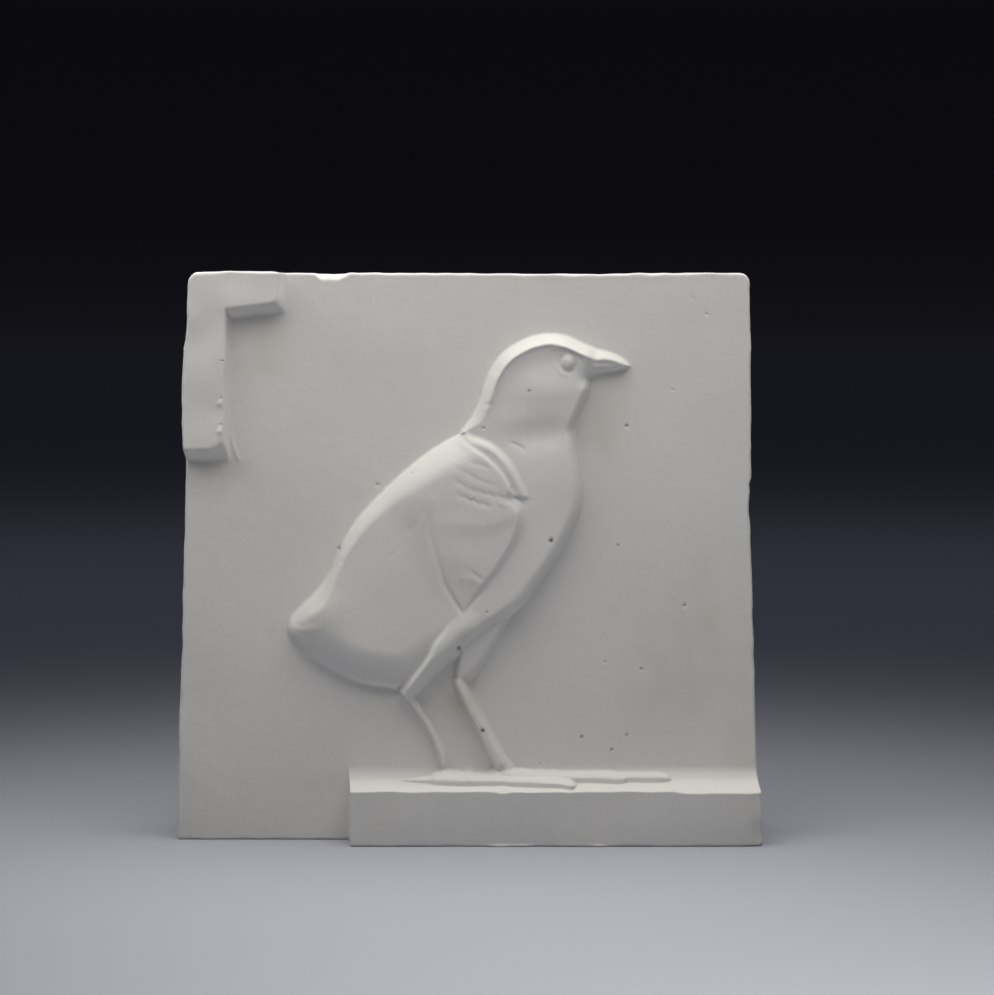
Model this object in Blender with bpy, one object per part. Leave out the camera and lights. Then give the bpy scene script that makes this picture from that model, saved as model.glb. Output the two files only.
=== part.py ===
"""A plaster relief plaque: a cast slab that stands on its lower edge and faces -Y.

A quail chick in raised relief faces right and stands on a ledge that juts out at the lower
right, and a raised border turns round the upper left corner. It is one solid, cast in one piece.
The front is a height over the field, worked out at places that follow the edges of each form.
"""

import bpy
import bmesh
import numpy as np
from mathutils import Vector
from mathutils.geometry import delaunay_2d_cdt

# The slab, in metres. It narrows a little towards the top.
WIDTH = 0.1491               # at half its height
TAPER = 0.0070               # how much narrower it is at the top than at its foot
WIDTH_BELOW = WIDTH + TAPER / 2
WIDTH_ABOVE = WIDTH - TAPER / 2
HEIGHT = 0.1484
THICKNESS = 0.020
CORNER_RADIUS = 0.0026
FRONT_ROUNDING = 0.0013
BACK_CHAMFER = 0.0008

# The ledge under the bird. Its top slopes down to the front, as the mould's draft.
LEDGE_DEPTH = 0.010
LEDGE_HEIGHT = 0.0165
LEDGE_DRAFT = 0.0019
LEDGE_LEFT = 0.0455          # from the slab's lower left corner
LEDGE_END_DRAFT = 0.0006
LEDGE_FILLET = 0.0005

# The raised border round the upper left corner.
BORDER_RISE = 0.005
BORDER_BEVEL = 0.0021
BORDER_ARM_WIDTH = 0.0105    # the upper arm, down from the top edge
BORDER_POST_WIDTH = 0.0118   # the side arm, in from the left edge
BORDER_ARM_LENGTH = 0.0255
BORDER_POST_LENGTH = 0.0480

# The bird. Its carving is in hundredths of its own height, measured from the heel of the near
# foot: x to the right, z up.
CLEAR_ABOVE = 0.0159         # from the crown to the slab's top edge
BIRD_HEIGHT = HEIGHT - LEDGE_HEIGHT - CLEAR_ABOVE
UNIT = BIRD_HEIGHT / 100
BIRD_X = -0.0066             # the near foot, from the slab's middle
BIRD_RELIEF = 0.0043         # from the field to the flat of the body
WALL_BACK = 2.6              # widths of the rounded wall that rises from the outline
WALL_BREAST = 3.3
WALL_UNDER = 1.2
WALL_BILL = 1.9
BREAST_REACH = 5.2           # how far in the breast's wider wall counts

BACK_LINE = [(-34.8, 34.6), (-31.8, 38.6), (-26.8, 44.1), (-22.7, 52.6), (-15.7, 62.3),
             (-5.4, 71.8), (3.8, 77.6), (7.6, 83.2)]
CROWN_LINE = [(7.6, 83.2), (9.2, 87.9), (12.3, 94.4), (18.6, 98.9), (24.9, 100.1),
              (30.4, 98.5), (34.9, 96.6)]
BEAK_ABOVE = [(34.9, 96.6), (40.3, 94.6), (42.3, 92.7)]
BEAK_BELOW = [(42.3, 92.7), (38.2, 91.5), (33.2, 90.5)]
BREAST_LINE = [(33.2, 90.5), (33.2, 87.9), (31.2, 82.8), (29.6, 78.3), (31.2, 69.1),
               (31.0, 60.1), (25.8, 49.3), (19.1, 39.8), (9.8, 33.0), (2.9, 26.6)]
UNDER_LINE = [(2.9, 26.6), (-3.0, 22.8), (-9.1, 20.3), (-19.9, 22.1), (-30.3, 27.7),
              (-34.3, 31.8), (-34.8, 34.6)]
UNDER_RIDGE = [(-34.8, 34.6), (-29.5, 34.3), (-21.7, 31.4), (-8.3, 28.6), (2.9, 29.0)]
UNDER_CLOSE = [(2.9, 29.0), (2.9, 26.6)]
BEAK_RIDGE = [(33.2, 95.0), (38.0, 94.5), (42.3, 92.7)]
BEAK_GAPE = [(33.2, 90.5), (33.2, 95.0)]
CROWN_RIDGE = [(8.9, 79.0), (9.9, 84.0), (12.9, 90.3), (19.6, 95.7), (26.5, 97.2), (32.2, 96.4)]
NAPE_GROOVE = [(9.6, 78.8), (11.9, 85.0), (15.5, 90.6), (21.5, 94.3), (27.0, 95.4)]
COLLAR_LINE = [(5.6, 78.8), (11.0, 76.3), (16.6, 70.8), (19.9, 63.4)]
WING_RIGHT = [(19.9, 63.4), (18.0, 61.2), (17.6, 57.6), (14.6, 50.1), (9.6, 43.4), (4.7, 37.7)]
WING_LEFT = [(-3.3, 60.8), (-1.9, 53.0), (0.3, 45.1), (4.7, 37.7)]
WING_FADE = [(3.0, 78.6), (-3.0, 70.0), (-3.3, 60.8)]

# Lines carved in the flat: their points, their rise as a share of the relief, and their reach.
CARVED_LINES = [
    ([(5.8, 77.0), (11.6, 72.9), (16.0, 67.3), (17.4, 63.4)], -0.12, 0.8),   # inside the collar
    ([(4.6, 76.9), (10.1, 72.6), (15.2, 67.0), (16.5, 63.2)], 0.09, 0.7),    # the shoulder's arris
    (WING_LEFT, -0.12, 0.55),
    ([(33.8, 93.1), (38.4, 92.8)], -0.09, 0.4),                              # the mouth
    ([(2.2, 67.5), (7.4, 65.6), (15.5, 63.6)], -0.07, 0.5),                  # rows of feathers
    ([(3.4, 65.4), (7.8, 63.6), (14.8, 62.4)], -0.07, 0.5),
]

# Swells of the flat: place, reach along and across, turn in degrees, share of the relief.
SWELLS = [
    ((24.0, 86.6), (8.5, 6.0), 0, 0.30),      # cheek
    ((21.5, 77.4), (8.5, 3.4), 10, -0.24),    # hollow of the throat
    ((23.5, 67.0), (6.5, 9.5), 0, 0.14),      # breast
    ((-6.0, 49.0), (20.0, 13.0), 50, 0.30),   # flank
]

# Rises as shares of the relief, and reaches in hundredths of the bird's height.
BILL_RISE = 0.77
BILL_LOW = 0.40              # the lower bill's edge, as a share of the ridge
BILL_FROM = 32.0             # where the head gives way to the bill
BILL_BLEND = 4.0
UNDER_LOW = 0.42             # the lower edge of the undertail, as a share of its ridge
TEMPLE_FALL = 0.21           # inside the crown's ridge
TEMPLE_REACH = 3.1
HEAD_FROM = 79.0
HEAD_BLEND = 5.0
EYE = (28.2, 93.2)
EYE_REACH = 1.7
EYE_RISE = 0.16
SOCKET = (-0.07, 1.35, 0.3)  # the groove round the eye: rise, place and width in eye reaches
WING_STEP = 0.21
WING_STEP_REACH = 1.55
WING_FADE_REACH = 7.8

# The legs: outlines of the thighs, middle lines of the shanks with their reach at either end.
NEAR_THIGH = [(-2.4, 34.3), (-3.4, 30.7), (-6.4, 24.6), (-9.6, 20.0), (-8.6, 18.0), (-6.4, 17.3),
              (-1.6, 22.6), (5.8, 30.0), (10.6, 34.4), (6.4, 37.2), (1.4, 36.6)]
FAR_THIGH = [(8.9, 31.2), (4.2, 25.7), (3.1, 22.0), (6.2, 20.8), (10.7, 27.8), (14.0, 33.4),
             (11.4, 34.6)]
THIGHS = [(NEAR_THIGH, 1.26), (FAR_THIGH, 0.65)]
SHANKS = [
    ([(-7.2, 18.6), (-3.4, 10.6), (0.4, 3.4), (1.2, 0.4)], (1.5, 1.7)),
    ([(4.9, 21.6), (8.4, 13.6), (11.4, 7.0), (15.6, 1.6)], (2.0, 2.2)),
]
SHANK_RISE = 0.63

# The toes lie along the ledge: their ends, how far they stand out as a share of the ledge's
# depth, and their thickness at either end.
TOES = [
    (-10.0, -2.0, 0.36, 0.7, 1.6),    # near foot, behind the heel
    (-4.0, 29.5, 0.60, 2.9, 1.7),     # near foot
    (12.5, 41.5, 0.44, 2.9, 2.2),     # far foot, inner toe
    (30.0, 51.0, 0.34, 1.9, 1.2),     # far foot, outer toe
]
TOE_FACE = 0.7
TOE_END = 1.9

# Spacing of the places where the front is worked out.
STEP_EDGE = HEIGHT / 31
STEP_FIELD = HEIGHT / 16
STEP_LEDGE = 3.0 * UNIT
STEP_BIRD = 2.0 * UNIT
STEP_LINE = 1.4 * UNIT
STEP_LEGS = 1.2 * UNIT
ROOM_SHARP = 0.3 * UNIT      # between places on sharp edges
ROOM_SOFT = 0.45 * UNIT      # between places on soft forms
FINE_POINTS = 24             # worked out between two points of a smooth line
CORNER_POINTS = 4
EYE_POINTS = 12
WELD = 0.00002
SMALLEST = 1e-9
SHARP_ANGLE = 35             # degrees between faces, past which an edge isn't shaded smooth

FIELD_Y = 0.5 * (LEDGE_DEPTH - THICKNESS)
BACK_Y = FIELD_Y + THICKNESS


def plaster():
    """Cast plaster of Paris: white, fine and matte."""
    material = bpy.data.materials.new("plaster")
    material.use_nodes = True
    shader = material.node_tree.nodes["Principled BSDF"]
    shader.inputs["Base Color"].default_value = (0.62, 0.60, 0.56, 1.0)
    shader.inputs["Roughness"].default_value = 0.85
    return material


def on_bird(points):
    """Hundredths of the bird's height as places on the front."""
    return np.array(points, float) * UNIT + (BIRD_X, LEDGE_HEIGHT)


def bird_line(points):
    """A smooth open line through points of the bird, as places about one step apart."""
    line = on_bird(points)
    before = np.vstack([2 * line[0] - line[1], line[:-2], line[-2]])[: len(line) - 1]
    after = np.vstack([line[2:], 2 * line[-1] - line[-2]])
    t = np.linspace(0, 1, FINE_POINTS, endpoint=False)[:, None]
    parts = []
    for a, b, c, d in zip(before, line[:-1], line[1:], after):
        parts.append(b + 0.5 * t * (c - a + t * (2 * a - 5 * b + 4 * c - d
                                                 + t * (3 * (b - c) + d - a))))
    fine = np.vstack(parts + [line[-1:]])
    run = np.concatenate([[0], np.cumsum(np.linalg.norm(np.diff(fine, axis=0), axis=1))])
    reached = np.linspace(0, run[-1], max(2, round(run[-1] / STEP_LINE) + 1))
    return np.column_stack([np.interp(reached, run, fine[:, 0]), np.interp(reached, run, fine[:, 1])])


def chain(*parts):
    """Lines of the bird that run on from each other, as one open line."""
    lines = [bird_line(part) for part in parts]
    return np.vstack([line[:-1] for line in lines[:-1]] + lines[-1:])


def ring_of(*parts):
    """Lines of the bird that run on from each other and close."""
    return chain(*parts)[:-1]


def distance(line, x, z, ring=False):
    """Distance from each place to a chain of straight pieces, and how far along it that is, 0 to 1."""
    start = line if ring else line[:-1]
    end = np.roll(line, -1, axis=0) if ring else line[1:]
    way = end - start
    px = x[:, None] - start[:, 0]
    pz = z[:, None] - start[:, 1]
    t = np.clip((px * way[:, 0] + pz * way[:, 1]) / (way**2).sum(axis=1), 0, 1)
    away = np.hypot(px - t * way[:, 0], pz - t * way[:, 1])
    nearest = away.argmin(axis=1)
    rows = np.arange(len(x))
    return away[rows, nearest], (nearest + t[rows, nearest]) / len(start)


def within(ring, x, z):
    """Whether each place lies inside a ring, by counting the sides to its right."""
    ax, az = ring.T
    bx, bz = np.roll(ring, -1, axis=0).T
    rise = np.where(bz == az, 1.0, bz - az)
    crossed = (az > z[:, None]) != (bz > z[:, None])
    side = ax + (z[:, None] - az) / rise * (bx - ax)
    return (crossed & (x[:, None] < side)).sum(axis=1) % 2 == 1


def depth(ring, x, z):
    """Distance in from a ring, negative outside it."""
    away = distance(ring, x, z, ring=True)[0]
    return np.where(within(ring, x, z), away, -away)


def ease(t):
    t = np.clip(t, 0, 1)
    return t * t * (3 - 2 * t)


def quarter_round(t):
    return np.sqrt(1 - (1 - np.clip(t, 0, 1)) ** 2)


def bell(t):
    return np.exp(-(t**2))


def side_lean(z):
    """How far the slab's side stands out at each height."""
    return WIDTH_BELOW / 2 - TAPER / 2 * z / HEIGHT


def stops(low, high, marks):
    """Even steps from low to high that also stop at each mark between them."""
    knots = np.unique([low, high] + [mark for mark in marks if low < mark < high])
    runs = [np.linspace(a, b, max(1, round((b - a) / STEP_EDGE)), endpoint=False)
            for a, b in zip(knots[:-1], knots[1:])]
    return np.append(np.concatenate(runs), high)


def slab_outline():
    """The slab seen from the front, anticlockwise from the lower left corner."""
    round_x, round_z = WIDTH_ABOVE / 2 - CORNER_RADIUS, HEIGHT - CORNER_RADIUS
    ledge_end = LEDGE_LEFT - WIDTH_BELOW / 2
    border = border_ring()
    inner = border_ring(BORDER_BEVEL)
    below = stops(-WIDTH_BELOW / 2, WIDTH_BELOW / 2, [ledge_end, ledge_end + LEDGE_END_DRAFT])
    right = stops(0, round_z, list(ledge_profile()[:, 0]))[1:-1]
    above = stops(-round_x, round_x, [border[3, 0], inner[3, 0]])[1:-1][::-1]
    left = stops(0, round_z, [border[0, 1], inner[0, 1]])[1:-1][::-1]
    turn = np.linspace(0, np.pi / 2, CORNER_POINTS)
    corner = CORNER_RADIUS * np.column_stack([np.cos(turn), np.sin(turn)])
    return np.vstack([
        np.column_stack([below, np.zeros(len(below))]),
        np.column_stack([side_lean(right), right]),
        corner + (round_x, round_z),
        np.column_stack([above, np.full(len(above), HEIGHT)]),
        corner[::-1] * (-1, 1) + (-round_x, round_z),
        np.column_stack([-side_lean(left), left]),
    ])


def border_ring(inset=0.0):
    """The border's foot, run on past the slab's edges. An inset draws the inner sides in."""
    left, top = -WIDTH_BELOW, 2 * HEIGHT
    edge = -WIDTH_ABOVE / 2
    post = edge + BORDER_POST_WIDTH - inset
    arm = HEIGHT - BORDER_ARM_WIDTH + inset
    return np.array([(left, HEIGHT - BORDER_POST_LENGTH + inset),
                     (post, HEIGHT - BORDER_POST_LENGTH + inset), (post, arm),
                     (edge + BORDER_ARM_LENGTH - inset, arm),
                     (edge + BORDER_ARM_LENGTH - inset, top), (left, top)])


def ledge_profile():
    """Heights on the ledge's top and how far it stands out there, from the field to the front."""
    return np.array([
        (LEDGE_HEIGHT + LEDGE_FILLET, 0.0),
        (LEDGE_HEIGHT - 0.3 * LEDGE_FILLET, 1.6 * LEDGE_FILLET),
        (LEDGE_HEIGHT - LEDGE_DRAFT + 0.4 * LEDGE_FILLET, LEDGE_DEPTH - 1.4 * LEDGE_FILLET),
        (LEDGE_HEIGHT - LEDGE_DRAFT - 0.8 * LEDGE_FILLET, LEDGE_DEPTH),
    ])


def ledge_height(x, z):
    levels, out = ledge_profile()[::-1].T
    end = (x + WIDTH_BELOW / 2 - LEDGE_LEFT) / LEDGE_END_DRAFT
    return np.minimum(np.interp(z, levels, out), LEDGE_DEPTH * np.clip(end, 0, 1))


def toe_span(toe):
    """A toe's left and right end, how far it stands out, and its thickness at either end."""
    left, right, share, *thick = toe
    ends = on_bird([(left, 0), (right, 0)])[:, 0]
    return ends, share * LEDGE_DEPTH, np.array(thick) * UNIT


def toe_stand(out):
    """Height of the upper edge of a toe's upright face, for how far the toe stands out."""
    return LEDGE_HEIGHT - LEDGE_DRAFT * out / LEDGE_DEPTH + TOE_FACE * UNIT


def toe_height(x, z):
    """Each toe stands on the ledge: an upright front face, then a round back to the field."""
    found = np.zeros(len(x))
    for toe in TOES:
        ends, out, thick = toe_span(toe)
        fade = quarter_round(np.minimum(x - ends[0], ends[1] - x) / (TOE_END * UNIT))
        up = np.clip((z - toe_stand(out)) / np.interp(x, ends, thick), 0, 1)
        found = np.maximum(found, out * fade * np.sqrt(1 - up**2))
    return found


def shank_height(points, reach, x, z):
    """A half round limb along a line, its reach changing from one end to the other."""
    away, along = distance(bird_line(points), x, z)
    radius = (reach[0] + (reach[1] - reach[0]) * along) * UNIT
    return SHANK_RISE * BIRD_RELIEF * np.sqrt(np.clip(1 - (away / radius) ** 2, 0, 1))


def thigh_height(points, rise, x, z):
    """A thigh: a flat inside its outline, with a rounded wall up to it."""
    ring = bird_line(points + points[:1])[:-1]
    return rise * BIRD_RELIEF * quarter_round(depth(ring, x, z) / (WALL_BACK * UNIT))


def swell_share(x, z):
    """The sum of the soft swells, each a bell that may be longer one way than the other."""
    total = np.zeros(len(x))
    for place, reach, turn, share in SWELLS:
        right, up = ((np.column_stack([x, z]) - on_bird([place])[0]) / UNIT).T
        c, s = np.cos(np.radians(turn)), np.sin(np.radians(turn))
        along = (right * c + up * s) / reach[0]
        across = (up * c - right * s) / reach[1]
        total += share * bell(np.hypot(along, across))
    return total


def between(lower, upper, x, z):
    """Share of the way from one line of the bird up to another."""
    below = distance(bird_line(lower), x, z)[0]
    above = distance(bird_line(upper), x, z)[0]
    return below / np.maximum(below + above, SMALLEST)


def wing_share(x, z):
    """The folded wing: a step along its right edge and the collar, fading out to the left."""
    right = chain(COLLAR_LINE, WING_RIGHT)
    left = chain(WING_FADE, WING_LEFT)
    region = np.vstack([right, left[::-1]])
    step = ease(distance(right, x, z)[0] / (WING_STEP_REACH * UNIT))
    fade = ease(distance(left, x, z)[0] / (WING_FADE_REACH * UNIT))
    return np.where(within(region, x, z), WING_STEP * step * fade, 0)


def head_share(x, z):
    """The fall inside the crown's ridge, then the eye in its socket."""
    crown = distance(bird_line(CROWN_LINE), x, z)[0] / UNIT
    up = ease((z - LEDGE_HEIGHT - HEAD_FROM * UNIT) / (HEAD_BLEND * UNIT))
    behind = 1 - ease((x - BIRD_X - (BILL_FROM - BILL_BLEND / 2) * UNIT) / (BILL_BLEND * UNIT))
    fall = TEMPLE_FALL * ease((crown - WALL_BACK) / TEMPLE_REACH) * up * behind
    away = np.hypot(*(np.column_stack([x, z]) - on_bird([EYE])[0]).T) / (EYE_REACH * UNIT)
    rise, place, width = SOCKET
    return EYE_RISE * np.sqrt(np.clip(1 - away**2, 0, 1)) + rise * bell((away - place) / width) - fall


def trunk_ring():
    return ring_of(BACK_LINE, CROWN_LINE, BEAK_ABOVE, BEAK_BELOW, BREAST_LINE, UNDER_LINE)


def trunk_height(x, z):
    """Head and body: a rounded wall up from the outline, a flat with swells, then the carving."""
    inward = depth(trunk_ring(), x, z) / UNIT
    breast = distance(bird_line(BREAST_LINE), x, z)[0] / UNIT
    wall = np.where(breast < BREAST_REACH, WALL_BREAST, WALL_BACK)
    flat = 1 + swell_share(x, z) + head_share(x, z) + wing_share(x, z)
    for line, rise, reach in CARVED_LINES:
        flat += rise * bell(distance(bird_line(line), x, z)[0] / (reach * UNIT))
    height = flat * quarter_round(inward / wall)
    lower_bill = within(ring_of(BEAK_RIDGE, BEAK_BELOW, BEAK_GAPE), x, z)
    bill = np.where(lower_bill, BILL_LOW + (1 - BILL_LOW) * between(BEAK_BELOW, BEAK_RIDGE, x, z),
                    quarter_round(distance(bird_line(BEAK_ABOVE), x, z)[0] / (WALL_BILL * UNIT)))
    bill *= BILL_RISE * quarter_round(inward / WALL_UNDER)
    height += (bill - height) * ease((x - BIRD_X - BILL_FROM * UNIT) / (BILL_BLEND * UNIT))
    belly = within(ring_of(UNDER_LINE, UNDER_RIDGE, UNDER_CLOSE), x, z)
    fall = UNDER_LOW + (1 - UNDER_LOW) * between(UNDER_LINE, UNDER_RIDGE, x, z)
    height = np.where(belly, flat * fall * quarter_round(inward / WALL_UNDER), height)
    return BIRD_RELIEF * np.where(inward > 0, height, 0)


def front_height(x, z):
    """How far the front stands out from the field at each place."""
    border = BORDER_RISE * np.clip(depth(border_ring(), x, z) / BORDER_BEVEL, 0, 1)
    forms = [ledge_height(x, z), border, trunk_height(x, z), toe_height(x, z)]
    forms += [thigh_height(points, rise, x, z) for points, rise in THIGHS]
    forms += [shank_height(points, reach, x, z) for points, reach in SHANKS]
    edge = depth(slab_outline(), x, z)
    return np.max(forms, axis=0) - FRONT_ROUNDING * (1 - quarter_round(edge / FRONT_ROUNDING))


def shifted(line, by, ring=False):
    """A line moved to its left by a distance."""
    way = np.roll(line, -1, axis=0) - np.roll(line, 1, axis=0) if ring else np.gradient(line, axis=0)
    way /= np.linalg.norm(way, axis=1)[:, None]
    return line + by * np.column_stack([-way[:, 1], way[:, 0]])


def lattice(step, lowest, highest):
    """Places in rows, every other row moved half a step along."""
    rise = step * np.sqrt(3) / 2
    rows = np.arange(lowest[1], highest[1], rise)
    columns = np.arange(lowest[0], highest[0], step)
    x, z = np.meshgrid(columns, rows)
    x += 0.5 * step * (np.arange(len(rows)) % 2)[:, None]
    return np.column_stack([x.ravel(), z.ravel()])


def row(left, right, z, step=STEP_LEDGE):
    """Places from left to right. The height may differ from place to place."""
    x = np.linspace(left, right, max(2, round((right - left) / step) + 1))
    return np.column_stack([x, z(x) if callable(z) else np.full(len(x), z)])


def ledge_lines():
    """Lines along the ledge's edges and down its end."""
    left = LEDGE_LEFT - WIDTH_BELOW / 2
    right = side_lean(LEDGE_HEIGHT) - FRONT_ROUNDING
    rows = [row(left, right, z) for z, _ in ledge_profile()]
    top = LEDGE_HEIGHT - LEDGE_DRAFT
    return rows + [row(FRONT_ROUNDING, top, x)[:, ::-1] for x in (left, left + LEDGE_END_DRAFT)]


def toe_lines():
    """Lines along the back, the round, the upper edge and the foot of each toe."""
    lines = []
    for toe in TOES:
        ends, out, thick = toe_span(toe)
        stand = toe_stand(out)
        for share in (1.0, 0.0, 0.5, 0.85):
            lines.append(row(*ends, lambda x: stand + share * np.interp(x, ends, thick), STEP_LINE))
        lines.append(row(*ends, stand - TOE_FACE * UNIT, STEP_LINE))
    return lines


def border_lines():
    """The foot and the upper edge of the border's inner sides."""
    lines = []
    for inset in (0.0, BORDER_BEVEL):
        corners = border_ring(inset)[:5]
        corners[0, 0] = FRONT_ROUNDING - side_lean(corners[0, 1])
        corners[4, 1] = HEIGHT - FRONT_ROUNDING
        for start, end in zip(corners[:-1], corners[1:]):
            count = max(2, round(np.linalg.norm(end - start) / STEP_EDGE) + 1)
            lines.append(start + (end - start) * np.linspace(0, 1, count)[:, None])
    return lines


def beside(line, *steps):
    """The line moved to its left by each step, in hundredths of the bird's height."""
    return [shifted(line, step * UNIT) for step in steps]


def bird_lines():
    """The bird's outline, the round of its wall, and both sides of each line carved in it."""
    trunk = trunk_ring()
    lines = [np.vstack([trunk, trunk[:1]])]
    for part, wall in ((BACK_LINE, WALL_BACK), (CROWN_LINE, WALL_BACK), (BREAST_LINE, WALL_BREAST)):
        lines += beside(bird_line(part), -0.25 * wall, -0.55 * wall, -wall)
    lines += beside(bird_line(UNDER_LINE), -0.45 * WALL_UNDER, -WALL_UNDER)
    lines += [bird_line(part) for part in (UNDER_RIDGE, BEAK_RIDGE, CROWN_RIDGE, NAPE_GROOVE)]
    lines += beside(chain(COLLAR_LINE, WING_RIGHT), 0, -WING_STEP_REACH)
    for line, _, reach in CARVED_LINES:
        lines += beside(bird_line(line), 0, 1.5 * reach, -1.5 * reach)
    for points, _ in THIGHS:
        lines += beside(bird_line(points + points[:1]), 0, 0.25 * WALL_BACK, 0.6 * WALL_BACK)
    for points, reach in SHANKS:
        middle = bird_line(points)
        radius = np.linspace(*reach, len(middle))[:, None]
        lines += beside(middle, 1.02 * radius, -1.02 * radius, 0, 0.65 * radius, -0.65 * radius)
    turn = np.linspace(0, 2 * np.pi, EYE_POINTS + 1)
    circle = np.column_stack([np.cos(turn), np.sin(turn)])
    return lines + [on_bird(EYE + circle * EYE_REACH * size) for size in (0.5, 1.0, SOCKET[1], 1.8)]


def sites():
    """Where the front is worked out, none too close to another, and the lines that edges follow.

    The slab's outline comes first. A place on a line that is too close to one already there
    becomes that one.
    """
    outline = slab_outline()
    rounding = [shifted(outline, by, ring=True) for by in (0.3 * FRONT_ROUNDING, FRONT_ROUNDING)]
    trunk = trunk_ring()
    legs = np.vstack([bird_line(NEAR_THIGH), bird_line(FAR_THIGH)])
    near_legs = lattice(STEP_LEGS, legs.min(axis=0), legs.max(axis=0))
    fine = lattice(STEP_BIRD, trunk.min(axis=0), trunk.max(axis=0))
    coarse = lattice(STEP_FIELD, outline.min(axis=0), outline.max(axis=0))
    kept, edges = outline, []
    groups = [(line, ROOM_SHARP) for line in rounding + ledge_lines() + border_lines() + toe_lines()]
    groups += [(line, ROOM_SOFT) for line in bird_lines()]
    for line, room in groups:
        places = line[depth(outline, *line.T) > 0.25 * FRONT_ROUNDING]
        followed = []
        for place in places:
            away = np.hypot(*(kept - place).T)
            followed.append(away.argmin() if away.min() < room else len(kept))
            if away.min() >= room:
                kept = np.vstack([kept, place])
        edges += [(a, b) for a, b in zip(followed[:-1], followed[1:]) if a != b]
    for places, room in ((near_legs, 0.6 * STEP_LEGS), (fine[within(trunk, *fine.T)], 0.6 * STEP_BIRD),
                         (coarse, 0.5 * STEP_FIELD)):
        for place in places[depth(outline, *places.T) > FRONT_ROUNDING]:
            if np.hypot(*(kept - place).T).min() > room:
                kept = np.vstack([kept, place])
    return kept, edges, len(outline)


def plaque():
    """The front over its sites, a rim round it and a flat back with a narrow chamfer."""
    places, edges, count = sites()
    loop = list(range(count))
    points, _, faces, _, _, _ = delaunay_2d_cdt([Vector(p) for p in places], edges, [loop], 1, WELD)
    flat = np.array(points)
    front = np.column_stack([flat[:, 0], FIELD_Y - front_height(flat[:, 0], flat[:, 1]), flat[:, 1]])
    shape = bmesh.new()
    made = [shape.verts.new(p) for p in front]
    for face in faces:
        shape.faces.new([made[i] for i in face])
    rim = made[:count]
    outline = places[:count]
    for line, y in ((outline, BACK_Y - BACK_CHAMFER), (shifted(outline, BACK_CHAMFER, ring=True), BACK_Y)):
        after = [shape.verts.new((x, y, z)) for x, z in line]
        for i in range(count):
            j = (i + 1) % count
            shape.faces.new([rim[i], rim[j], after[j], after[i]])
        rim = after
    shape.faces.new(rim)
    bmesh.ops.triangulate(shape, faces=[face for face in shape.faces if len(face.verts) > 4])
    bmesh.ops.recalc_face_normals(shape, faces=shape.faces)
    mesh = bpy.data.meshes.new("plaster_plaque")
    shape.to_mesh(mesh)
    shape.free()
    mesh.shade_smooth()
    mesh.set_sharp_from_angle(angle=np.radians(SHARP_ANGLE))
    mesh.materials.append(plaster())
    return bpy.data.objects.new("plaster_plaque", mesh)


for old in list(bpy.data.objects):
    bpy.data.objects.remove(old)
bpy.context.scene.collection.objects.link(plaque())
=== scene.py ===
"""Shows the plaster relief plaque as one cast piece on a pale studio floor.

The front of the cast is a height over the flat field, worked out on one grid whose rows and columns
crowd together where the carving is fine. A rim and a flat back close it.
Places are in millimetres: x from the slab's middle, z up from the floor, y to the back.
"""
import bpy
import numpy as np
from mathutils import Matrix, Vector
from mathutils.geometry import delaunay_2d_cdt


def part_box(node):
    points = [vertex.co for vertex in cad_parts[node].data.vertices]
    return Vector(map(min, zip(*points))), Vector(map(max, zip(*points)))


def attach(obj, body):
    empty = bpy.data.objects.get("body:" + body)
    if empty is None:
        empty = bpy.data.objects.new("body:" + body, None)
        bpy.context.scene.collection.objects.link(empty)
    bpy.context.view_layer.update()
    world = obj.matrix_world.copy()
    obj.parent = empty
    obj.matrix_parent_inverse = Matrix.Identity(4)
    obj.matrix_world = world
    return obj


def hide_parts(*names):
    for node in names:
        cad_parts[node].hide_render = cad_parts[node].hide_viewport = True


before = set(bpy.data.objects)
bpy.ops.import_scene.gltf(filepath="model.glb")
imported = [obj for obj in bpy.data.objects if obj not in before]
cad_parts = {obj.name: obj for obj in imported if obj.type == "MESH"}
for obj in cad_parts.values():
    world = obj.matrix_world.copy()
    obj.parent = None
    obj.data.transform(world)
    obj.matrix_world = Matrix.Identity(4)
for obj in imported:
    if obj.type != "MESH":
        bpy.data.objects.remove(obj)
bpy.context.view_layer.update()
MM = 0.001

# The camera, where the photograph was taken from.
VIEW_FROM = (7.7, -655.0, 129.1)
VIEW_DOWN = 3.44  # degrees below level
FOCAL_PIXELS = 2500.0
IMAGE_HIGH = 995.0
SENSOR = 36.0

# The slab, from the frame.
LOW, HIGH = (np.array(corner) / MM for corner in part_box("plaster_plaque"))
HALF_FOOT = HIGH[0]
HEIGHT = HIGH[2]
BACK = HIGH[1]
THICKNESS = 20.0
FIELD = BACK - THICKNESS
LEDGE_DEPTH = FIELD - LOW[1]
TAPER = 7.0  # how much narrower the slab is at the top
TAPER_BEND = 3.0  # the lean is strongest at the sides and dies out to the middle
CORNER_ABOVE, CORNER_BELOW = 3.0, 1.1
ROUNDING = 0.55  # of the front edges
BACK_CHAMFER = 0.8
EDGE_REACH = 7.0  # how far in the unevenness of an edge is felt
# Unevenness, here and below: how much, the length of its waves, and the number that starts its chances.
SIDE_WAVE, SIDE_RIPPLE = (0.07, 11.0, 3), (0.018, 4.0, 4)
TOP_WAVE = (0.04, 8.0, 5)

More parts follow.
